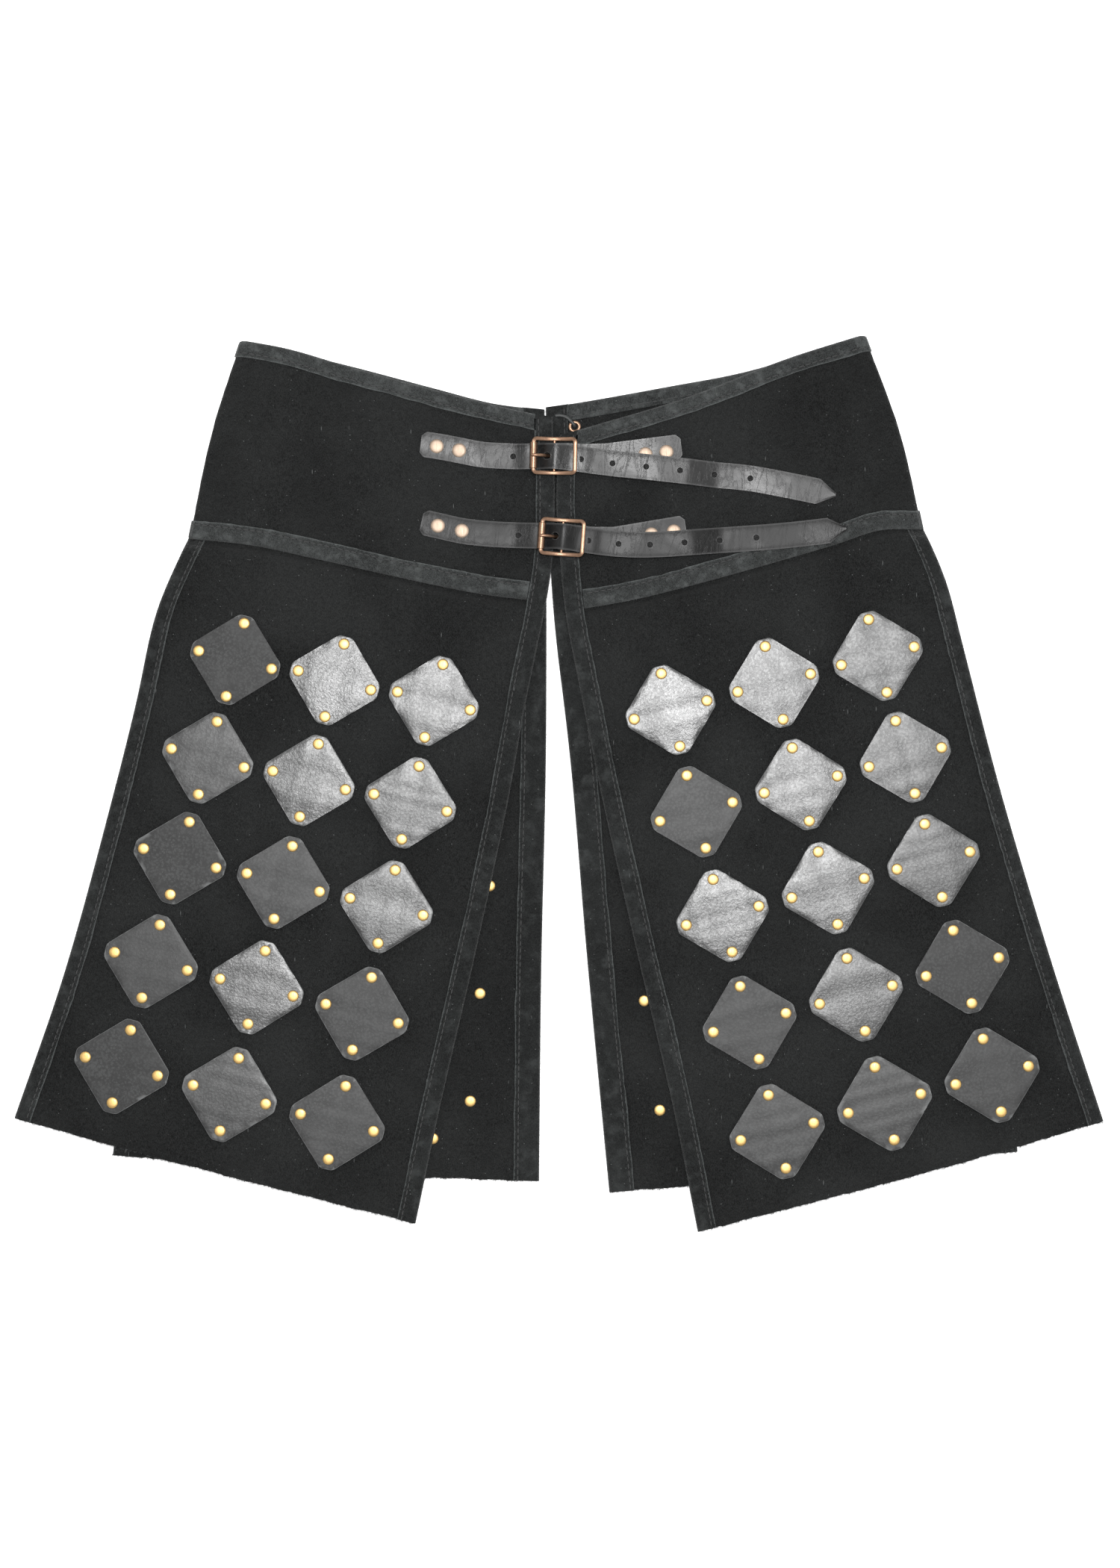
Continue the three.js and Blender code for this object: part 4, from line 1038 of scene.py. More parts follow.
def along_seam(start, end, up):
    """The place and turn of a stick that lies from start to end, its z towards up."""
    start, end = Vector(start) * MM, Vector(end) * MM
    x_axis = (end - start).normalized()
    y_axis = Vector(up).cross(x_axis).normalized()
    turn = Matrix((x_axis, y_axis, x_axis.cross(y_axis))).transposed().to_4x4()
    return Matrix.Translation((start + end) / 2) @ turn


thread_stick = stick(STITCH_LENGTH * 0.8, THREAD)
for side in HALVES:
    ends = [pair for name, pairs in stitch_places.items() if name.endswith(side) for pair in pairs]
    bm = joined_copies(thread_stick, [along_seam(*pair) for pair in ends])
    piece = hand_over(settle("stitches_" + side, bm, [thread]), "suede_binding")
    print(piece.name, len(ends), "stitches")

# %% [markdown]
# Against a white table the edge of suede is never a clean line: fibres of the nap stand out from every
# fold and hem. A few short strips of them are made from fine cones of three faces each, and the strips
# are laid one after another along the lines noted above. They are what makes the outline look soft.

# %% Loose fibres along the folds and hems
FRINGE = 6.0                       # length of one strip of fibres, mm
FIBRES = 20                        # fibres in a strip
FIBRE_LENGTH = (1.2, 2.8)
FIBRE_RADIUS = 0.13
FIBRE_FLOOR = 1.7                  # lowest level of a root, which keeps the tips above the table


def fringe_strip():
    """A strip of loose fibres along x that stand out towards y, in metres."""
    bm = bmesh.new()
    for x in rng.uniform(-FRINGE / 2, FRINGE / 2, FIBRES):
        lean = Vector((rng.normal(0, 0.6), 1, rng.normal(0, 0.45))).normalized()
        length = rng.uniform(*FIBRE_LENGTH)
        middle = Vector((x, 0, rng.uniform(-0.5, 0.5))) + lean * (length / 2 - 0.6)
        matrix = Matrix.Translation(middle * MM) @ lean.to_track_quat("Z", "Y").to_matrix().to_4x4()
        bmesh.ops.create_cone(bm, segments=3, radius1=FIBRE_RADIUS * MM, radius2=0, depth=length * MM,
                              matrix=matrix)
    return mesh_of(bm)


def along_edge(line, away):
    """The place and turn of every strip along an edge: x along it and y away from the piece."""
    walked = walk(line)
    for at in np.arange(FRINGE / 2, walked[-1], FRINGE):
        start, root, end = (Vector(read_along(at + step, walked, line))
                            for step in (-FRINGE / 2, 0, FRINGE / 2))
        forward = (end - start).normalized()
        up = forward.cross(Vector(read_along(at, walked, away))).normalized()
        root.z = max(root.z, FIBRE_FLOOR)
        turn = Matrix((forward, up.cross(forward), up)).transposed().to_4x4()
        yield Matrix.Translation(root * MM) @ turn


strips = [fringe_strip() for _ in range(4)]
for side in HALVES:
    laid = bmesh.new()
    places = [place for name, (line, away) in fuzz_places.items() if name.endswith(side)
              for place in along_edge(line, away)]
    for i, strip in enumerate(strips):
        add_bm(laid, joined_copies(strip, places[i::len(strips)]))
    piece = hand_over(settle("fibres_" + side, laid, [tape_suede["panel"]]), "suede_binding")
    print(piece.name, len(piece.data.polygons), "faces")

# %% [markdown]
# ## The plates
# A plate is a square of thick leather with its corners cut off, standing almost on a corner. One face
# is beveled at its corners twice, first for the cut and then to round it, and sliced into a fine net so
# that it can be shaped. The shaping is real mesh, because the polish shows every hollow.

# %% A plate's outline
PLATE_SIDE = 49                    # side of a plate of the top row
PLATE_GROWTH = 0.0125              # share by which each row down is larger
PLATE_CORNER = 6.2                 # how much is cut off a corner
PLATE_RIVET_REACH = 25             # from a plate's middle to a rivet
PLATE_TURN = 14                    # degrees by which a front plate stands off its corner
BRASS_RIVET = 3.85                 # radius of a cap
ROWS, COLUMNS = 5, 3
RIVET_SPOTS = [(sx * PLATE_RIVET_REACH / math.sqrt(2), sy * PLATE_RIVET_REACH / math.sqrt(2))
               for sx in (1, -1) for sy in (1, -1)]


def plate_face(side):
    """A square with its corners cut off and rounded, in mm, sliced into a net."""
    bm = bmesh.new()
    bmesh.ops.create_grid(bm, x_segments=1, y_segments=1, size=side / 2)
    for offset, segments in ((PLATE_CORNER, 1), (1.6, 2)):
        bmesh.ops.bevel(bm, geom=bm.verts[:], affect="VERTICES", offset=offset, segments=segments,
                        profile=0.5, offset_type="OFFSET", material=-1)
    for axis in (Vector((1, 0, 0)), Vector((0, 1, 0))):
        for at in spread(-side / 2, side / 2, 18)[1:-1]:
            bmesh.ops.bisect_plane(bm, geom=bm.verts[:] + bm.edges[:] + bm.faces[:], plane_co=axis * at,
                                   plane_no=axis)
    return bm


# %% [markdown]
# The net is extruded for thickness, and then only its upper face is shaped. Each rivet presses a round
# hollow, the edges fall away and slow waves bend what is between. The upper edge is beveled last, and
# the faces it makes are marked as rim, which the plate leather paints pale as a painted highlight.

# %% Shaping a plate
PRESSED = 0.42                     # depth of the hollow round a rivet
PRESSED_SPREAD = 40                # how wide it is, in square millimetres
EDGE_FALL = 0.35                   # how far the edges fall away
EDGE_ROUND = 0.45                  # rounding of the upper edge
CUT_NORMAL = 0.35                  # a face whose normal rises less than this is part of the cut edge
RIM_NORMAL = 0.92                  # and one whose normal rises less than this is part of the rim


def plate_bm(row, tone):
    """A plate with its underside at z = 0, in mm, with its tone and its rim, for a painted highlight, as
    attributes.
    """
    side = PLATE_SIDE * (1 + PLATE_GROWTH * row)
    bm = plate_face(side)
    net = bm.faces[:]
    bmesh.ops.recalc_face_normals(bm, faces=net)
    if net[0].normal.z < 0:
        bmesh.ops.reverse_faces(bm, faces=net)
    top = bmesh.ops.extrude_face_region(bm, geom=net, use_keep_orig=True)["geom"]
    top_verts = [part for part in top if isinstance(part, bmesh.types.BMVert)]
    top_faces = [part for part in top if isinstance(part, bmesh.types.BMFace)]
    bmesh.ops.reverse_faces(bm, faces=net)
    waves = wobble(220, 0.10, 4), wobble(220, 0.10, 4)
    for vert in top_verts:
        x, y = vert.co.x, vert.co.y
        pressed = sum(PRESSED * math.exp(-((x - rx) ** 2 + (y - ry) ** 2) / PRESSED_SPREAD)
                      for rx, ry in RIVET_SPOTS)
        edge = max(abs(x), abs(y)) / (side / 2)
        vert.co.z = PLATE + waves[0](x + y) + waves[1](x - y) - pressed - EDGE_FALL * edge ** 8
    rim_edges = {edge for face in top_faces for edge in face.edges
                 if any(other not in top_faces for other in edge.link_faces)}
    bmesh.ops.bevel(bm, geom=list(rim_edges), affect="EDGES", offset=EDGE_ROUND, segments=2, profile=0.5,
                    offset_type="OFFSET", material=-1)
    bm.normal_update()
    tone_layer = bm.verts.layers.float.new("tone")
    rim_layer = bm.verts.layers.float.new("rim")
    for vert in bm.verts:
        vert[tone_layer] = tone
    for face in bm.faces:
        face.smooth = True
        if abs(face.normal.z) < CUT_NORMAL:
            face.material_index = 1
        # the bevel's faces are the rim, which is painted pale as a painted highlight
        elif face.normal.z < RIM_NORMAL:
            for vert in face.verts:
                vert[rim_layer] = 1.0
    return bm


def lay_plate(bm, turn, tilt, place):
    """Turns a plate, tilts it about y and puts it at a place in mm, and changes mm to metres."""
    matrix = (Matrix.Scale(MM, 4) @ Matrix.Translation(place) @ Matrix.Rotation(-math.atan(tilt), 4, "Y")
              @ Matrix.Rotation(turn, 4, "Z"))
    bm.transform(matrix)
    return matrix


# %% [markdown]
# A rivet cap is a thin brass dome with a rolled edge: half its outline is drawn from the middle out and
# spun once round. Its foot is marked as rim, where the metal lays painted shade. Every cap of a kind is a
# copy of one mesh.

# %% Rivet caps


def drawn_line(bm, points, closed=False):
    """A vertex at each point of a line, and the edges that join them."""
    verts = [bm.verts.new(point) for point in points]
    ends = verts[1:] + verts[:1] if closed else verts[1:]
    return verts, [bm.edges.new(pair) for pair in zip(verts, ends)]


def spin_round(bm, line, steps):
    """Spins a line once round z."""
    bmesh.ops.spin(bm, geom=line, cent=(0, 0, 0), axis=(0, 0, 1), angle=2 * math.pi, steps=steps,
                   use_merge=True)
    bmesh.ops.remove_doubles(bm, verts=bm.verts, dist=0.001)
    bmesh.ops.recalc_face_normals(bm, faces=bm.faces)


def put_mm(x, y, z):
    """Moves a mesh that is in mm to a place in mm, and changes mm to metres."""
    return Matrix.Scale(MM, 4) @ Matrix.Translation((x, y, z))


def cap_template(radius, height, outline, steps=14):
    """A domed cap with its foot at z = 0, in mm. outline gives fractions of radius and height."""
    bm = bmesh.new()
    verts, edges = drawn_line(bm, [(r * radius, 0, z * height) for r, z in outline])
    spin_round(bm, verts + edges, steps)
    # the foot of the cap is marked as rim, for painted shade
    rim_layer = bm.verts.layers.float.new("rim")
    for vert in bm.verts:
        vert[rim_layer] = 1.0 if vert.co.z < 0.3 * height else 0.0
    return mesh_of(bm)


DOME = [(0, 1.0), (0.42, 0.97), (0.72, 0.84), (0.90, 0.62), (0.985, 0.32), (1.0, 0.02), (0.96, -0.3)]
brass_cap = cap_template(BRASS_RIVET, RIVET_HEIGHT, DOME)
print("faces in a cap:", len(brass_cap.polygons))

# %% [markdown]
# The plates' centres come from the fixed model's nodes, and each plate's slope from how the panel under
# it falls. How dull a plate is depends on its column and its row, and a few old ones are duller still.

# %% Front plates and their rivets
SLOPE_SPAN = 40                    # width over which the panel's slope is measured
CAP_SUNK = 0.30                    # a cap's foot lies this far below the plate's upper face
DULLNESS = {"left": (0.15, 0.0, 0.7), "right": (0.0, 0.1, 0.42)}   # by column, inner first
ROW_DULLNESS = (0, 0, 0, 0.2, 0.8)
DULLER = {"left": {(1, 3), (3, 2), (3, 3), (4, 1)}, "right": {(2, 1), (4, 1), (4, 3)}}   # row, column

for side, half in HALVES.items():
    level = PANELS["front", side]["level"]
    caps = []
    for row in range(ROWS):
        for column in range(COLUMNS):
            node = f"plate_{side}_{row + 1}_{column + 1}"
            low, high = (np.array(corner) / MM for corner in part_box(node))
            centre = (low + high) / 2
            reach = np.array([SLOPE_SPAN / 2, 0])
            tilt = float(np.subtract(*level(np.array([centre[:2] + reach, centre[:2] - reach])))) / SLOPE_SPAN
            underside = low[2] + abs(tilt) * (high[0] - low[0]) / 2
            tone = DULLNESS[side][column] + ROW_DULLNESS[row] + rng.uniform(-0.12, 0.12)
            tone += 0.9 if (row + 1, column + 1) in DULLER[side] else 0
            turn = math.radians(45 + half["out"] * PLATE_TURN + rng.uniform(-1, 1))
            lean = tilt + rng.normal(0, 0.008)
            bm = plate_bm(row, tone)
            matrix = lay_plate(bm, turn, lean, (centre[0], centre[1], underside))
            caps += [matrix @ Matrix.Translation((x, y, PLATE - CAP_SUNK)) for x, y in RIVET_SPOTS]
            piece = settle(node, bm, [plate_leather, cut_edge])
            hand_over(piece, "plate_leather", node)
    piece = settle("rivets_front_" + side, joined_copies(brass_cap, caps), [brass])
    hand_over(piece, "brass")
    print(side, "front:", len(caps), "rivets")

# %% [markdown]
# The back panels lie on their plates, so only the inner ends of their rivets show, where the front
# panels don't cover them. Each rivet is a pair of caps, one on the plate and one on the cloth inside.

# %% Back plates and the caps inside
for side, half in HALVES.items():
    corners = [np.array(corner, float) for corner in half["back_plates"]]
    plates, caps = bmesh.new(), []
    under = Matrix.Rotation(math.pi, 4, "X")
    for row in range(ROWS):
        for column in range(COLUMNS):
            down, across = row / (ROWS - 1), column / (COLUMNS - 1)
            top = corners[0] * (1 - across) + corners[1] * across
            low = corners[2] * (1 - across) + corners[3] * across
            x, y = top * (1 - down) + low * down
            bm = plate_bm(row, 0.5)
            bm.transform(under)
            matrix = lay_plate(bm, math.radians(45 + half["back_turn"]), 0, (x, y, BACK_PANEL - 0.05))
            caps += [matrix @ under @ Matrix.Translation((rx, ry, PLATE - 0.15)) for rx, ry in RIVET_SPOTS]
            caps += [matrix @ Matrix.Translation((rx, ry, CLOTH + 0.02)) for rx, ry in RIVET_SPOTS]
            add_bm(plates, bm)
    piece = settle("back_plates_" + side, plates, [plate_leather, cut_edge])
    hand_over(piece, "plate_leather")
    piece = settle("rivets_back_" + side, joined_copies(brass_cap, caps), [brass])
    hand_over(piece, "brass")
    print(side, "back:", len(caps), "caps")

# %% [markdown]
# ## Straps
# Two straps close the opening, each with a buckle. The sizes of the leather and of the wire come first,
# because they decide the levels: the bar of a buckle lies on the strap that is folded round it.

# %% Sizes of the straps and the buckles
STRAP = 1.5                        # thickness of strap leather
STRAP_HALF = 8.5                   # half its width
STRAP_HOLE = 2                     # radius of a hole
COPPER_CAP = 4.75                  # radius of a strap's rivet
COPPER_HEIGHT = 1.0
SEATED = 0.05                      # how far a cap's edge is pressed into the strap
FRAME_LENGTH = 27.7                # along the strap, between the middles of the wire
FRAME_WIDTH = 22.6
FRAME_CORNER = 2.2
FRAME_WIRE = 1.4                   # radii of the frame, the bar, the roller and the tongue
BAR = 1.1
ROLLER = 2.5
TONGUE = 1.0
ROLLER_LENGTH = 17.6
BAR_LEVEL = ON_TAPE + STRAP + GAP + BAR
FOLD_OVER_BAR = BAR + GAP + STRAP  # from the middle of the bar to the outside of the folded strap
FRAME_LEVEL = 17.0                 # level of the frame's two ends
print("levels of the bar and of the frame's ends:", round(BAR_LEVEL, 2), FRAME_LEVEL)

# %% [markdown]
# A strap is a band of firm leather. Seen from above it follows a route, and from the side it climbs
# over what lies under it: the opening's tapes, the bar of the buckle, the fold of the short strap and
# its rivets. Those levels are a short table of distances from the bar, softened at its corners.

# %% The straps' routes and levels
STRAPS = {
    "upper": {
        "buckle": (-3.8, 218.7), "turn": -1,
        "route": [(-93, 227), (-82, 225.5), (-67, 222.7), (-52.5, 220), (-31, 218.7), (-3.8, 218.5),
                  (13, 216.5), (35, 213.7), (57, 211.5), (103, 206.4), (127, 204), (184, 193)],
        "rivets": [(-82.3, 225.4), (-67.3, 222.7)],
        "holes": [(-31.3, 218.6), (14, 216.4), (35, 213.7), (57.4, 211.5), (80, 209), (103, 206.4),
                  (127, 204)],
        "short_end": (81, 225), "short_rivets": [(71, 221.5), (57, 220)], "rest": ON_WALL,
    },
    "lower": {
        "buckle": (1.5, 164.5), "turn": -4,
        "route": [(-92.5, 175), (-81.5, 172.5), (-65.5, 169), (-48, 167), (-27.8, 166), (1.5, 165),
                  (17.5, 162.5), (39, 160), (60, 159.5), (106, 162.5), (152, 166), (191, 170.5)],
        "rivets": [(-81.5, 172.4), (-65.5, 169)],
        "holes": [(-27.8, 165.9), (19, 162.2), (39, 160), (60, 159.5), (83, 161), (106.5, 162.5),
                  (131, 164.4)],
        "short_end": (84, 171), "short_rivets": [(76, 168.5), (61, 166.5)], "rest": ON_TAPE,
    },
}


def long_strap_level(x, strap):
    """Height of a long strap's underside at a distance x from the bar."""
    short_end = strap["short_end"][0] - strap["buckle"][0]
    over_bar = BAR_LEVEL + FOLD_OVER_BAR + GAP
    over_fold = ON_TAPE + 2 * STRAP + 3 * GAP
    over_rivets = ON_TAPE + STRAP + COPPER_HEIGHT + 2 * GAP
    steps = [(-200, ON_WALL), (-29.8 - strap["buckle"][0], ON_WALL), (-19, ON_TAPE), (-11.2, ON_TAPE),
             (-1.5, over_bar), (1.5, over_bar), (10, over_fold), (20, over_fold), (26, over_rivets),
             (short_end + 4, over_rivets), (short_end + 24, strap["rest"]), (300, strap["rest"])]
    places, levels = zip(*steps)
    soft = [np.interp(x + shift, places, levels) for shift in spread(-2.2, 2.2, 8)]
    return np.mean(soft, axis=0)


# %% [markdown]
# A band is a grid along its route with its long edges rolled down. Its holes are punched with a boolean
# cut, which is then made plain mesh, and the vertices on its upper rims are marked so that they look
# rubbed.

# %% Making a band and punching its holes


def band_bm(route, reach, sideways, crown=0.22, columns=12):
    """A band along a route, its edges rolled down a little, in mm places on its middle layer."""
    share = spread(-1, 1, columns)
    places = route[:, None] + sideways[:, None] * (reach[:, None] * share[None, :])[..., None]
    places[..., 2] += STRAP / 2 - crown * share[None, :] ** 4
    return bm_grid(places)


def punch(piece, holes):
    """Cuts round holes through a piece. holes are (x, y, radius) in mm."""
    bm = bmesh.new()
    for x, y, radius in holes:
        bmesh.ops.create_cone(bm, cap_ends=True, segments=20, radius1=radius * MM, radius2=radius * MM,
                              depth=0.06, matrix=Matrix.Translation((x * MM, y * MM, 0.01)))
    punches = settle("punches", bm, [cut_edge])
    modifier = piece.modifiers.new("holes", "BOOLEAN")
    modifier.object = punches
    modifier.operation = "DIFFERENCE"
    modifier.solver = "EXACT"
    shaped = piece.evaluated_get(bpy.context.evaluated_depsgraph_get())
    piece.data = bpy.data.meshes.new_from_object(shaped)
    piece.modifiers.clear()
    bpy.data.objects.remove(punches)


def dress_band(piece):
    """Merges a band's doubled points, marks its rims for wear and shades it."""
    bm = bmesh.new()
    bm.from_mesh(piece.data)
    bmesh.ops.remove_doubles(bm, verts=bm.verts, dist=0.00001)
    bm.normal_update()
    sharp = [edge for edge in bm.edges if len(edge.link_faces) == 2 and edge.calc_face_angle(0) > 1.0]
    rim_layer = bm.verts.layers.float.new("rim")
    for edge in sharp:
        upper = max(edge.link_faces, key=lambda face: face.normal.z)
        for vert in edge.verts:
            vert[rim_layer] = 1.0 if upper.normal.z > 0.5 else 0.0
    bm.to_mesh(piece.data)
    bm.free()
    piece.data.shade_smooth()
    piece.data.set_sharp_from_angle(angle=SHARP)


def end_taper(route, tips):
    """Half widths along a route, drawn in over the last few mm at each end: (length, half width)."""
    walked = walk(route)
    reach = np.full(len(route), float(STRAP_HALF))
    for (length, tip), distance in zip(tips, (walked, walked[-1] - walked)):
        reach = np.minimum(reach, tip + (STRAP_HALF - tip) * distance / length)
    return reach


# %% [markdown]
# Each long strap gets its holes, one more for the tongue, and its rivets. A dark disc lies just above
# the underside of each hole: painted shade for the dark inside of the hole.

# %% The long straps
TONGUE_HOLE = 4.8                  # from the bar to the hole that the tongue goes through
WIDER = 0.3                        # this hole, and the discs, have a radius larger by this
DISC_LEVEL = 0.15                  # height of a disc above the underside

copper_cap = cap_template(COPPER_CAP, COPPER_HEIGHT, DOME, steps=24)
for name, strap in STRAPS.items():
    seen = smooth_line(strap["route"])(spread(0, 1, 240))
    route = lifted(seen, long_strap_level(seen[:, 0] - strap["buckle"][0], strap))
    forward = unit(np.gradient(seen, axis=0))
    sideways = np.stack([-forward[:, 1], forward[:, 0], 0 * forward[:, 0]], -1)
    bm = band_bm(route, end_taper(route, ((3, 5.5), (12, 0.8))), sideways)
    piece = settle(f"strap_{name}_long", bm, [strap_leather[name]], thick(STRAP))
    tongue_hole = strap["buckle"][0] - TONGUE_HOLE
    tongue_y = float(np.interp(tongue_hole, seen[:, 0], seen[:, 1]))
    holes = [(x, y, STRAP_HOLE) for x, y in strap["holes"]]
    punch(piece, holes + [(tongue_hole, tongue_y, STRAP_HOLE + WIDER)])
    dress_band(piece)
    hand_over(piece, "strap_leather", f"strap_{name}_long")
    top = [float(np.interp(x, seen[:, 0], route[:, 2])) + STRAP for x, _ in strap["rivets"]]
    # dark discs under the holes: painted shade
    shades = bmesh.new()
    for x, y in strap["holes"]:
        level = float(np.interp(x, seen[:, 0], route[:, 2])) + DISC_LEVEL
        bmesh.ops.create_circle(shades, cap_ends=True, segments=12, radius=(STRAP_HOLE + WIDER) * MM,
                                matrix=Matrix.Translation(Vector((x, y, level)) * MM))
    hand_over(settle("hole_backs_" + name, shades, [cut_edge]), "strap_leather")
    caps = [put_mm(x, y, z - SEATED) for (x, y), z in zip(strap["rivets"], top)]
    caps += [put_mm(x, y, ON_TAPE + STRAP - SEATED) for x, y in strap["short_rivets"]]
    rivets = settle("strap_rivets_" + name, joined_copies(copper_cap, caps), [pale_copper])
    hand_over(rivets, "copper")
    print(piece.name, len(piece.data.polygons), "faces")

# %% [markdown]
# The short strap is riveted to the other half, runs to the buckle, folds round its middle bar and comes
# back on itself. It is a band too, but its route turns over, so the direction of its thickness is
# worked out along the way by Solidify.

# %% The short straps
BEND = 30                          # from the bar to the place where a short strap's route turns

for name, strap in STRAPS.items():
    turn = math.radians(strap["turn"])
    buckle = np.array([*strap["buckle"], 0.0])
    axis = np.array([math.cos(turn), math.sin(turn), 0.0])
    end = np.array([*strap["short_end"], 0.0])
    bend = buckle + axis * BEND
    outward = (end - bend) / np.linalg.norm(end - bend)
    rise = np.array([0.0, 0.0, 1.0])
    layer = ON_TAPE + STRAP / 2
    straight = [end + rise * layer, end - outward * 3 + rise * layer, bend + outward * 20 + rise * layer,
                bend + outward * 4 + rise * layer, buckle + axis * 20 + rise * layer]
    radius = FOLD_OVER_BAR - STRAP / 2
    folded = [buckle - axis * radius * math.sin(a) + rise * (BAR_LEVEL - radius * math.cos(a))
              for a in spread(0, math.pi, 10)]
    back = [buckle + axis * d + rise * (ON_TAPE + 1.5 * STRAP + GAP + STRAP) for d in (8, 17)]
    corner_marks = np.array(straight + folded + back)
    walked = walk(corner_marks)
    track = read_along(spread(0, walked[-1], 160), walked, corner_marks)
    soften(track, 3)
    lean = np.clip(np.linalg.norm(track - end - rise * layer, axis=-1) / np.linalg.norm(end - bend), 0, 1)
    direction = outward * (1 - lean[:, None]) + axis * lean[:, None]
    sideways = np.stack([direction[:, 1], -direction[:, 0], 0 * lean], -1)
    track[:, 2] -= STRAP / 2
    bm = band_bm(track, end_taper(track, ((3, 5.5), (1, 8.2))), sideways, crown=0)
    piece = settle(f"strap_{name}_short", bm, [strap_leather[name]], thick(STRAP))
    dress_band(piece)
    hand_over(piece, "strap_leather", f"strap_{name}_short")
    print(piece.name, len(piece.data.polygons), "faces")

# %% [markdown]
# ## Buckles
# A frame, a bar and a tongue are all wire, bent along a line. A tube helper lays a ring of points round
# every place on the line, as a grid whose edges meet, and merging the doubles closes it. Narrowing the
# last rings to nothing closes its ends.

# %% Wire along a line


def wire_bm(line, radius, sides=12, closed=False, flat=1.0, square=1.0):
    """A closed tube along a line in mm. flat presses its section in z, and square fills its corners."""
    line = np.asarray(line, float)
    radius = np.broadcast_to(np.asarray(radius, float), len(line)).copy()
    if closed:
        forward = np.roll(line, -1, axis=0) - np.roll(line, 1, axis=0)
    else:
        walked = walk(line)
        near_end = np.minimum(walked, walked[-1] - walked)
        share = np.clip(1 - near_end / np.maximum(radius, 0.01), 0, 1)
        radius *= np.sqrt(np.maximum(1 - share ** 2, 0))
        forward = np.gradient(line, axis=0)
    forward = unit(forward)
    helper = np.where(np.abs(forward[:, 2:3]) > 0.9, [[1.0, 0.0, 0.0]], [[0.0, 0.0, 1.0]])
    across = unit(np.cross(helper, forward))
    up = np.cross(forward, across)
    angle = spread(0, 2 * np.pi, sides)
    fill = (np.abs(np.cos(angle)) ** (2 * square) + np.abs(np.sin(angle)) ** (2 * square)) ** (-0.5 / square)
    ring = (across[:, None] * (np.cos(angle) * fill)[None, :, None]
            + up[:, None] * (np.sin(angle) * fill * flat)[None, :, None])
    places = line[:, None] + ring * radius[:, None, None]
    if closed:
        places = np.concatenate([places, places[:1]])
    bm = bm_grid(places)
    bmesh.ops.remove_doubles(bm, verts=bm.verts, dist=0.000004)
    bmesh.ops.recalc_face_normals(bm, faces=bm.faces)
    return bm


def fine_line(points, steps):
    return smooth_line(points)(spread(0, 1, steps))


def frame_line():
    """The middle of the buckle's wire, a rounded rectangle that dips at its middle bar."""
    half_length, half_width, r = FRAME_LENGTH / 2, FRAME_WIDTH / 2, FRAME_CORNER
    flat = []
    for sx, sy, start in ((1, 1, 0), (-1, 1, 90), (-1, -1, 180), (1, -1, 270)):
        for degrees in spread(start, start + 90, 6):
            angle = math.radians(degrees)
            flat.append((sx * (half_length - r) + r * math.cos(angle),
                         sy * (half_width - r) + r * math.sin(angle)))
    flat.append(flat[0])
    line = np.array(flat)
    walked = walk(line)
    line = read_along(np.linspace(0, walked[-1], 140, endpoint=False), walked, line)
    return lifted(line, (FRAME_LEVEL - BAR_LEVEL) * (line[:, 0] / half_length) ** 2)


# %% [markdown]
# The buckle is put together round its middle bar, which is the origin until it is moved to its place.
# The roller is a strip of sheet rolled almost shut round the outer bar, so its section is spun nearly
# once round and its seam is left open.

# %% Frame, bar, tongue and roller
ON_ROLLER = FRAME_LEVEL - BAR_LEVEL + ROLLER + 0.1 + TONGUE
SEAM_START = math.radians(-38)     # where the roller's sheet starts
ROLLED = math.radians(351)         # how far round it goes
TONGUE_LINE = [(0, 0, 0), (-2.4, 0, 0.3), (-TONGUE_HOLE, 0, 1.9), (-6.7, 0, 4.5), (-9.7, 0, ON_ROLLER - 0.8),
               (-FRAME_LENGTH / 2, 0, ON_ROLLER), (-FRAME_LENGTH / 2 - 1.9, 0, ON_ROLLER - 0.5)]

for name, strap in STRAPS.items():
    put = (Matrix.Translation(Vector((*strap["buckle"], BAR_LEVEL)) * MM)
           @ Matrix.Rotation(math.radians(strap["turn"]), 4, "Z"))
    bm = wire_bm(frame_line(), FRAME_WIRE, sides=16, closed=True, flat=0.9, square=1.9)
    half_width = FRAME_WIDTH / 2
    add_bm(bm, wire_bm(fine_line([(0, -half_width, 0), (0, half_width, 0)], 30), BAR))
    taper = np.linspace(1.25, 0.95, 41) * TONGUE
    add_bm(bm, wire_bm(fine_line(TONGUE_LINE, 40), taper, flat=0.85))
    bm.transform(put)
    hand_over(settle("buckle_" + name, bm, [copper]), "copper", "buckle_" + name)
    bm = bmesh.new()
    inside, outside, half = FRAME_WIRE + 0.25, ROLLER, ROLLER_LENGTH / 2
    outline = [(inside, -half), (outside - 0.3, -half), (outside, -half + 0.3), (outside, half - 0.3),
               (outside - 0.3, half), (inside, half)]
    seam_turn = Matrix.Rotation(SEAM_START, 3, "Y")
    verts, edges = drawn_line(bm, [seam_turn @ Vector((r, y, 0)) for r, y in outline], closed=True)
    end_ring = bmesh.ops.spin(bm, geom=verts + edges, cent=(0, 0, 0), axis=(0, 1, 0),
                              angle=ROLLED, steps=40)["geom_last"]
    for ring in (edges, [part for part in end_ring if isinstance(part, bmesh.types.BMEdge)]):
        bmesh.ops.contextual_create(bm, geom=ring)
    bmesh.ops.recalc_face_normals(bm, faces=bm.faces)
    place = Vector((-FRAME_LENGTH / 2, 0, FRAME_LEVEL - BAR_LEVEL))
    bm.transform(put @ Matrix.Scale(MM, 4) @ Matrix.Translation(place))
    hand_over(settle(f"buckle_{name}_roller", bm, [copper]), "copper", f"buckle_{name}_roller")
print("buckles:", list(STRAPS))

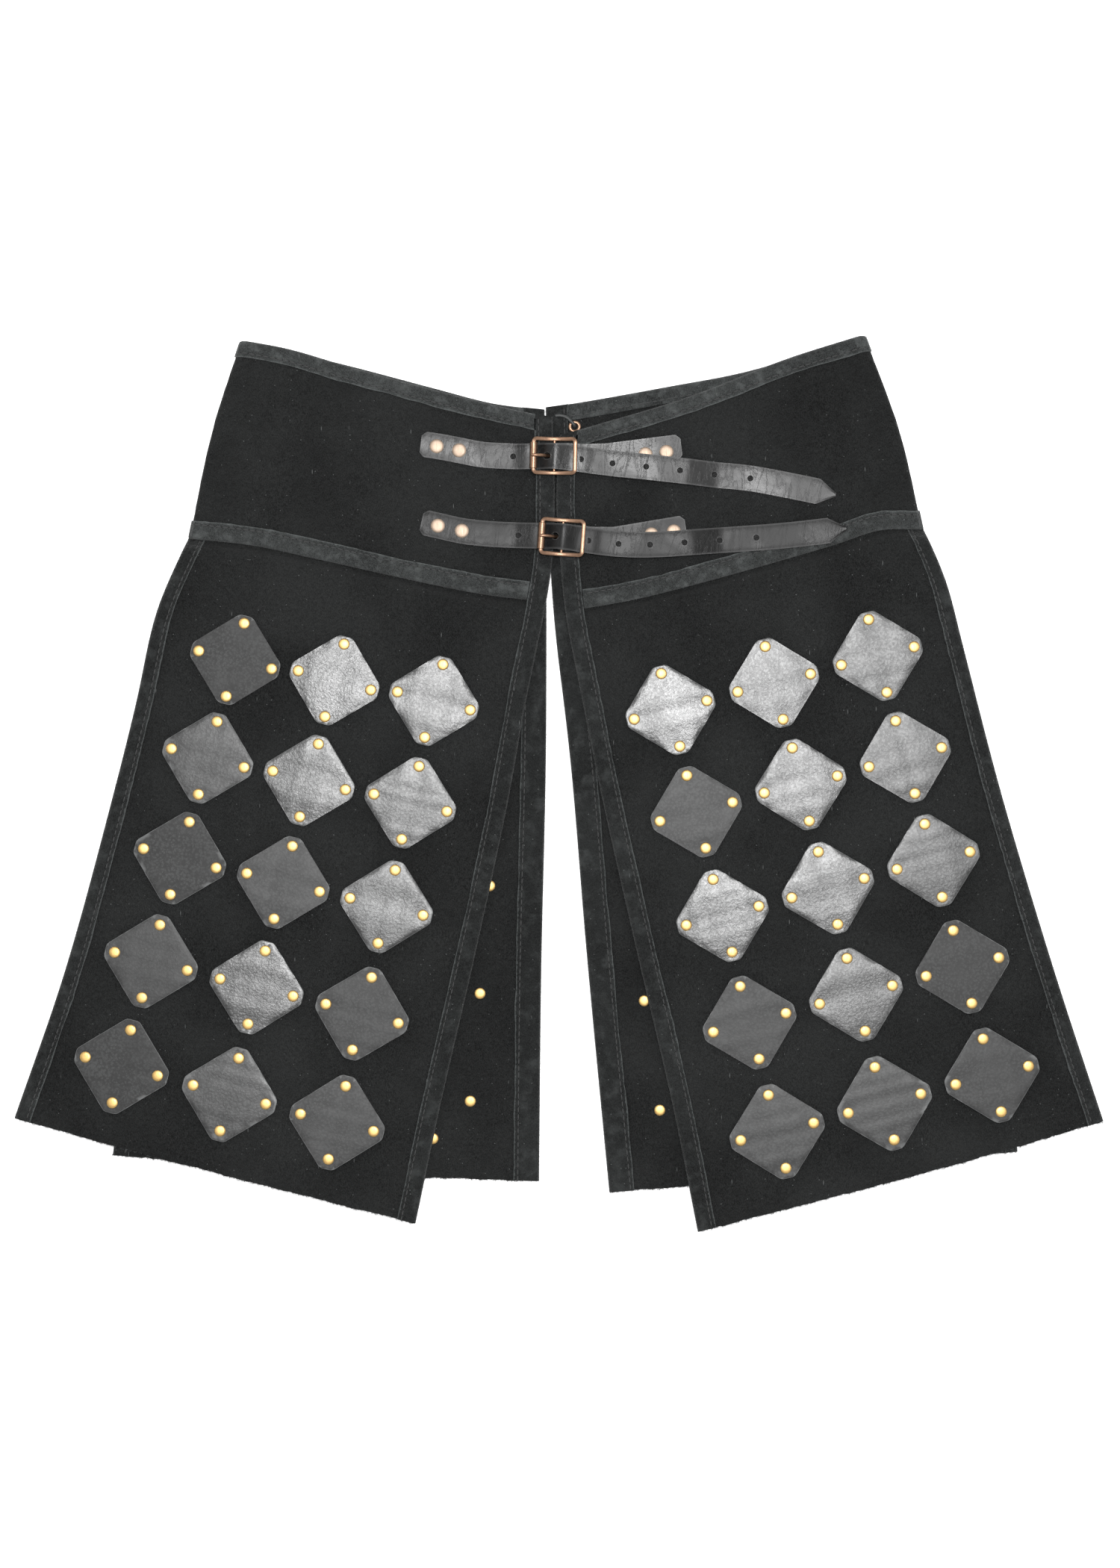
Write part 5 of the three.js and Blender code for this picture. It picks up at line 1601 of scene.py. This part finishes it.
# %% [markdown]
# ## The centre back
# One brass eyelet and a short end of lace show between the halves, where the centre back is laced. The
# lace comes up from behind, crosses to the eyelet and goes down through it. It is held at both ends, so
# it is modelled whole along its route.

# %% Eyelet and lace
EYELET = (9.8, 239)
EYELET_HOLE, EYELET_BARREL, EYELET_FLANGE = 2.1, 2.7, 4.2
LACE = 1.1                         # radius of the lace
back_face = BACK_WALL + CLOTH

bm = bmesh.new()
outline = [(EYELET_HOLE, BACK_WALL - 0.6), (EYELET_BARREL, BACK_WALL - 0.6), (EYELET_BARREL, back_face + 0.2),
           (EYELET_FLANGE, back_face + 0.2), (EYELET_FLANGE - 0.15, back_face + 0.65),
           (EYELET_FLANGE - 0.8, back_face + 0.98), (EYELET_HOLE + 0.6, back_face + 0.98),
           (EYELET_HOLE, back_face + 0.6)]
verts, edges = drawn_line(bm, [(r, 0, z) for r, z in outline], closed=True)
spin_round(bm, verts + edges, 36)
bm.transform(put_mm(*EYELET, 0))
hand_over(settle("eyelet_right", bm, [copper]), "brass", "eyelet_right")

lace_level = back_face + OVER_TAPE + GAP + LACE
lace_line = [(-3.6, 246, lace_level), (0, 246.3, lace_level), (4, 245.2, lace_level),
             (7.6, 242.2, lace_level), (9.4, 240, lace_level - 0.5), (9.8, 239.1, lace_level - 1.8),
             (9.8, 239, BACK_WALL)]
bm = wire_bm(fine_line(lace_line, 90), LACE, sides=14)
hand_over(settle("lace", bm, [lace_leather]), "lace_leather", "lace")
print("lace:", round(line_length(fine_line(lace_line, 90)), 1), "mm")

# %% [markdown]
# ## Sheets
# The waistbands and the panels are sheets of suede, each with the tapes sewn to it. The size each was
# cut to and its area are worked out and printed, so that anyone who drapes it again as cloth starts
# from the right piece.

# %% The flat size of every sheet


def flat_area(corners_at):
    """Area in square metres of a patch, from a net of its places in mm."""
    u, v = np.meshgrid(spread(0, 1, 40), spread(0, 1, 40))
    net = corners_at(u, v)
    across, down = net[1:, 1:] - net[:-1, :-1], net[1:, :-1] - net[:-1, 1:]
    return float(np.abs(across[..., 0] * down[..., 1] - across[..., 1] * down[..., 0]).sum() / 2 * MM ** 2)


def cut_size(corners_at):
    """Width and length in metres of the smallest upright rectangle round a patch."""
    u, v = np.meshgrid(spread(0, 1, 40), spread(0, 1, 40))
    net = corners_at(u, v).reshape(-1, 2)
    return (net.max(0) - net.min(0)) * MM


for side, surface in WAIST.items():
    round_fold = math.pi * (FOLD_INSIDE + CLOTH / 2) * MM
    front, back = cut_size(surface["front"]), cut_size(surface["back"])
    size = (front[0] + back[0] + round_fold, max(front[1], back[1]))
    fold_length = line_length(HALVES[side]["fold"]) * MM
    area = flat_area(surface["front"]) + flat_area(surface["back"]) + round_fold * fold_length
    print("waistband", side, [round(float(part), 3) for part in size], round(area, 4))

for (which, side), panel in PANELS.items():
    size = cut_size(panel["flat"])
    area = flat_area(panel["flat"])
    print(which, "panel", side, [round(float(part), 3) for part in size], round(area, 4))

# %% [markdown]
# ## The studio
# The skirt lies on a white table that also glows a little, so that it stays white without being
# lit too strongly. It is a stage and not a part of the skirt.

# %% The table
bm = bmesh.new()
bmesh.ops.create_grid(bm, x_segments=1, y_segments=1, size=6, matrix=Matrix.Translation((0, 0, -0.0004)))
table = in_scene("table", mesh_of(bm, "table"))
paper, nodes, shader = new_material("white table", Roughness=0.9, Specular_IOR_Level=0.1,
                                    Base_Color=(0.86, 0.86, 0.86, 1), Emission_Color=(1, 1, 1, 1),
                                    Emission_Strength=0.45)
table.data.materials.append(paper)

# %% [markdown]
# A soft light close to the camera's own line puts the shine on the upper plates: a flat glossy face seen
# from above mirrors what is above it. Two broad boxes at the sides and an even white sky fill the rest.

# %% The lights


def soft_light(name, place, size, power, aim=(0, 0, 0)):
    lamp = bpy.data.lights.new(name, "AREA")
    lamp.shape = "RECTANGLE"
    lamp.size, lamp.size_y = size
    lamp.energy = power
    light = in_scene(name, lamp)
    light.location = place
    light.rotation_euler = (Vector(aim) - Vector(place)).to_track_quat("-Z", "Y").to_euler()


soft_light("overhead", (0.12, 0.30, 3.3), (0.90, 0.60), 100, aim=(0.12, 0.1, 0))
soft_light("left_box", (-2.2, 1.2, 2.4), (2.5, 2.5), 14)
soft_light("right_box", (2.3, 0.4, 2.4), (2.5, 2.5), 14)

world = bpy.data.worlds.new("studio")
world.use_nodes = True
background = world.node_tree.nodes["Background"].inputs
background["Color"].default_value = (1, 1, 1, 1)
background["Strength"].default_value = 0.66
bpy.context.scene.world = world

# %% [markdown]
# The camera looks straight down from above the middle of the skirt. Its lens follows from its height
# and from how much of the table is to fit in the picture.

# %% The camera
VIEW_HEIGHT = 3.0
VIEW_TALL = 1.05                   # metres of table that fit in the picture from top to bottom
SENSOR = 36.0

camera_data = bpy.data.cameras.new("camera")
camera_data.sensor_fit = "VERTICAL"
camera_data.sensor_height = SENSOR
camera_data.lens = VIEW_HEIGHT / VIEW_TALL * SENSOR
camera_data.clip_start = 0.05
camera_data.clip_end = 30
camera = in_scene("camera", camera_data)
camera.location = (0, 0, VIEW_HEIGHT)
bpy.context.scene.camera = camera
bpy.context.scene.view_settings.view_transform = "Standard"
bpy.context.scene.view_settings.look = "None"
print("camera lens:", round(camera_data.lens, 1), "mm")
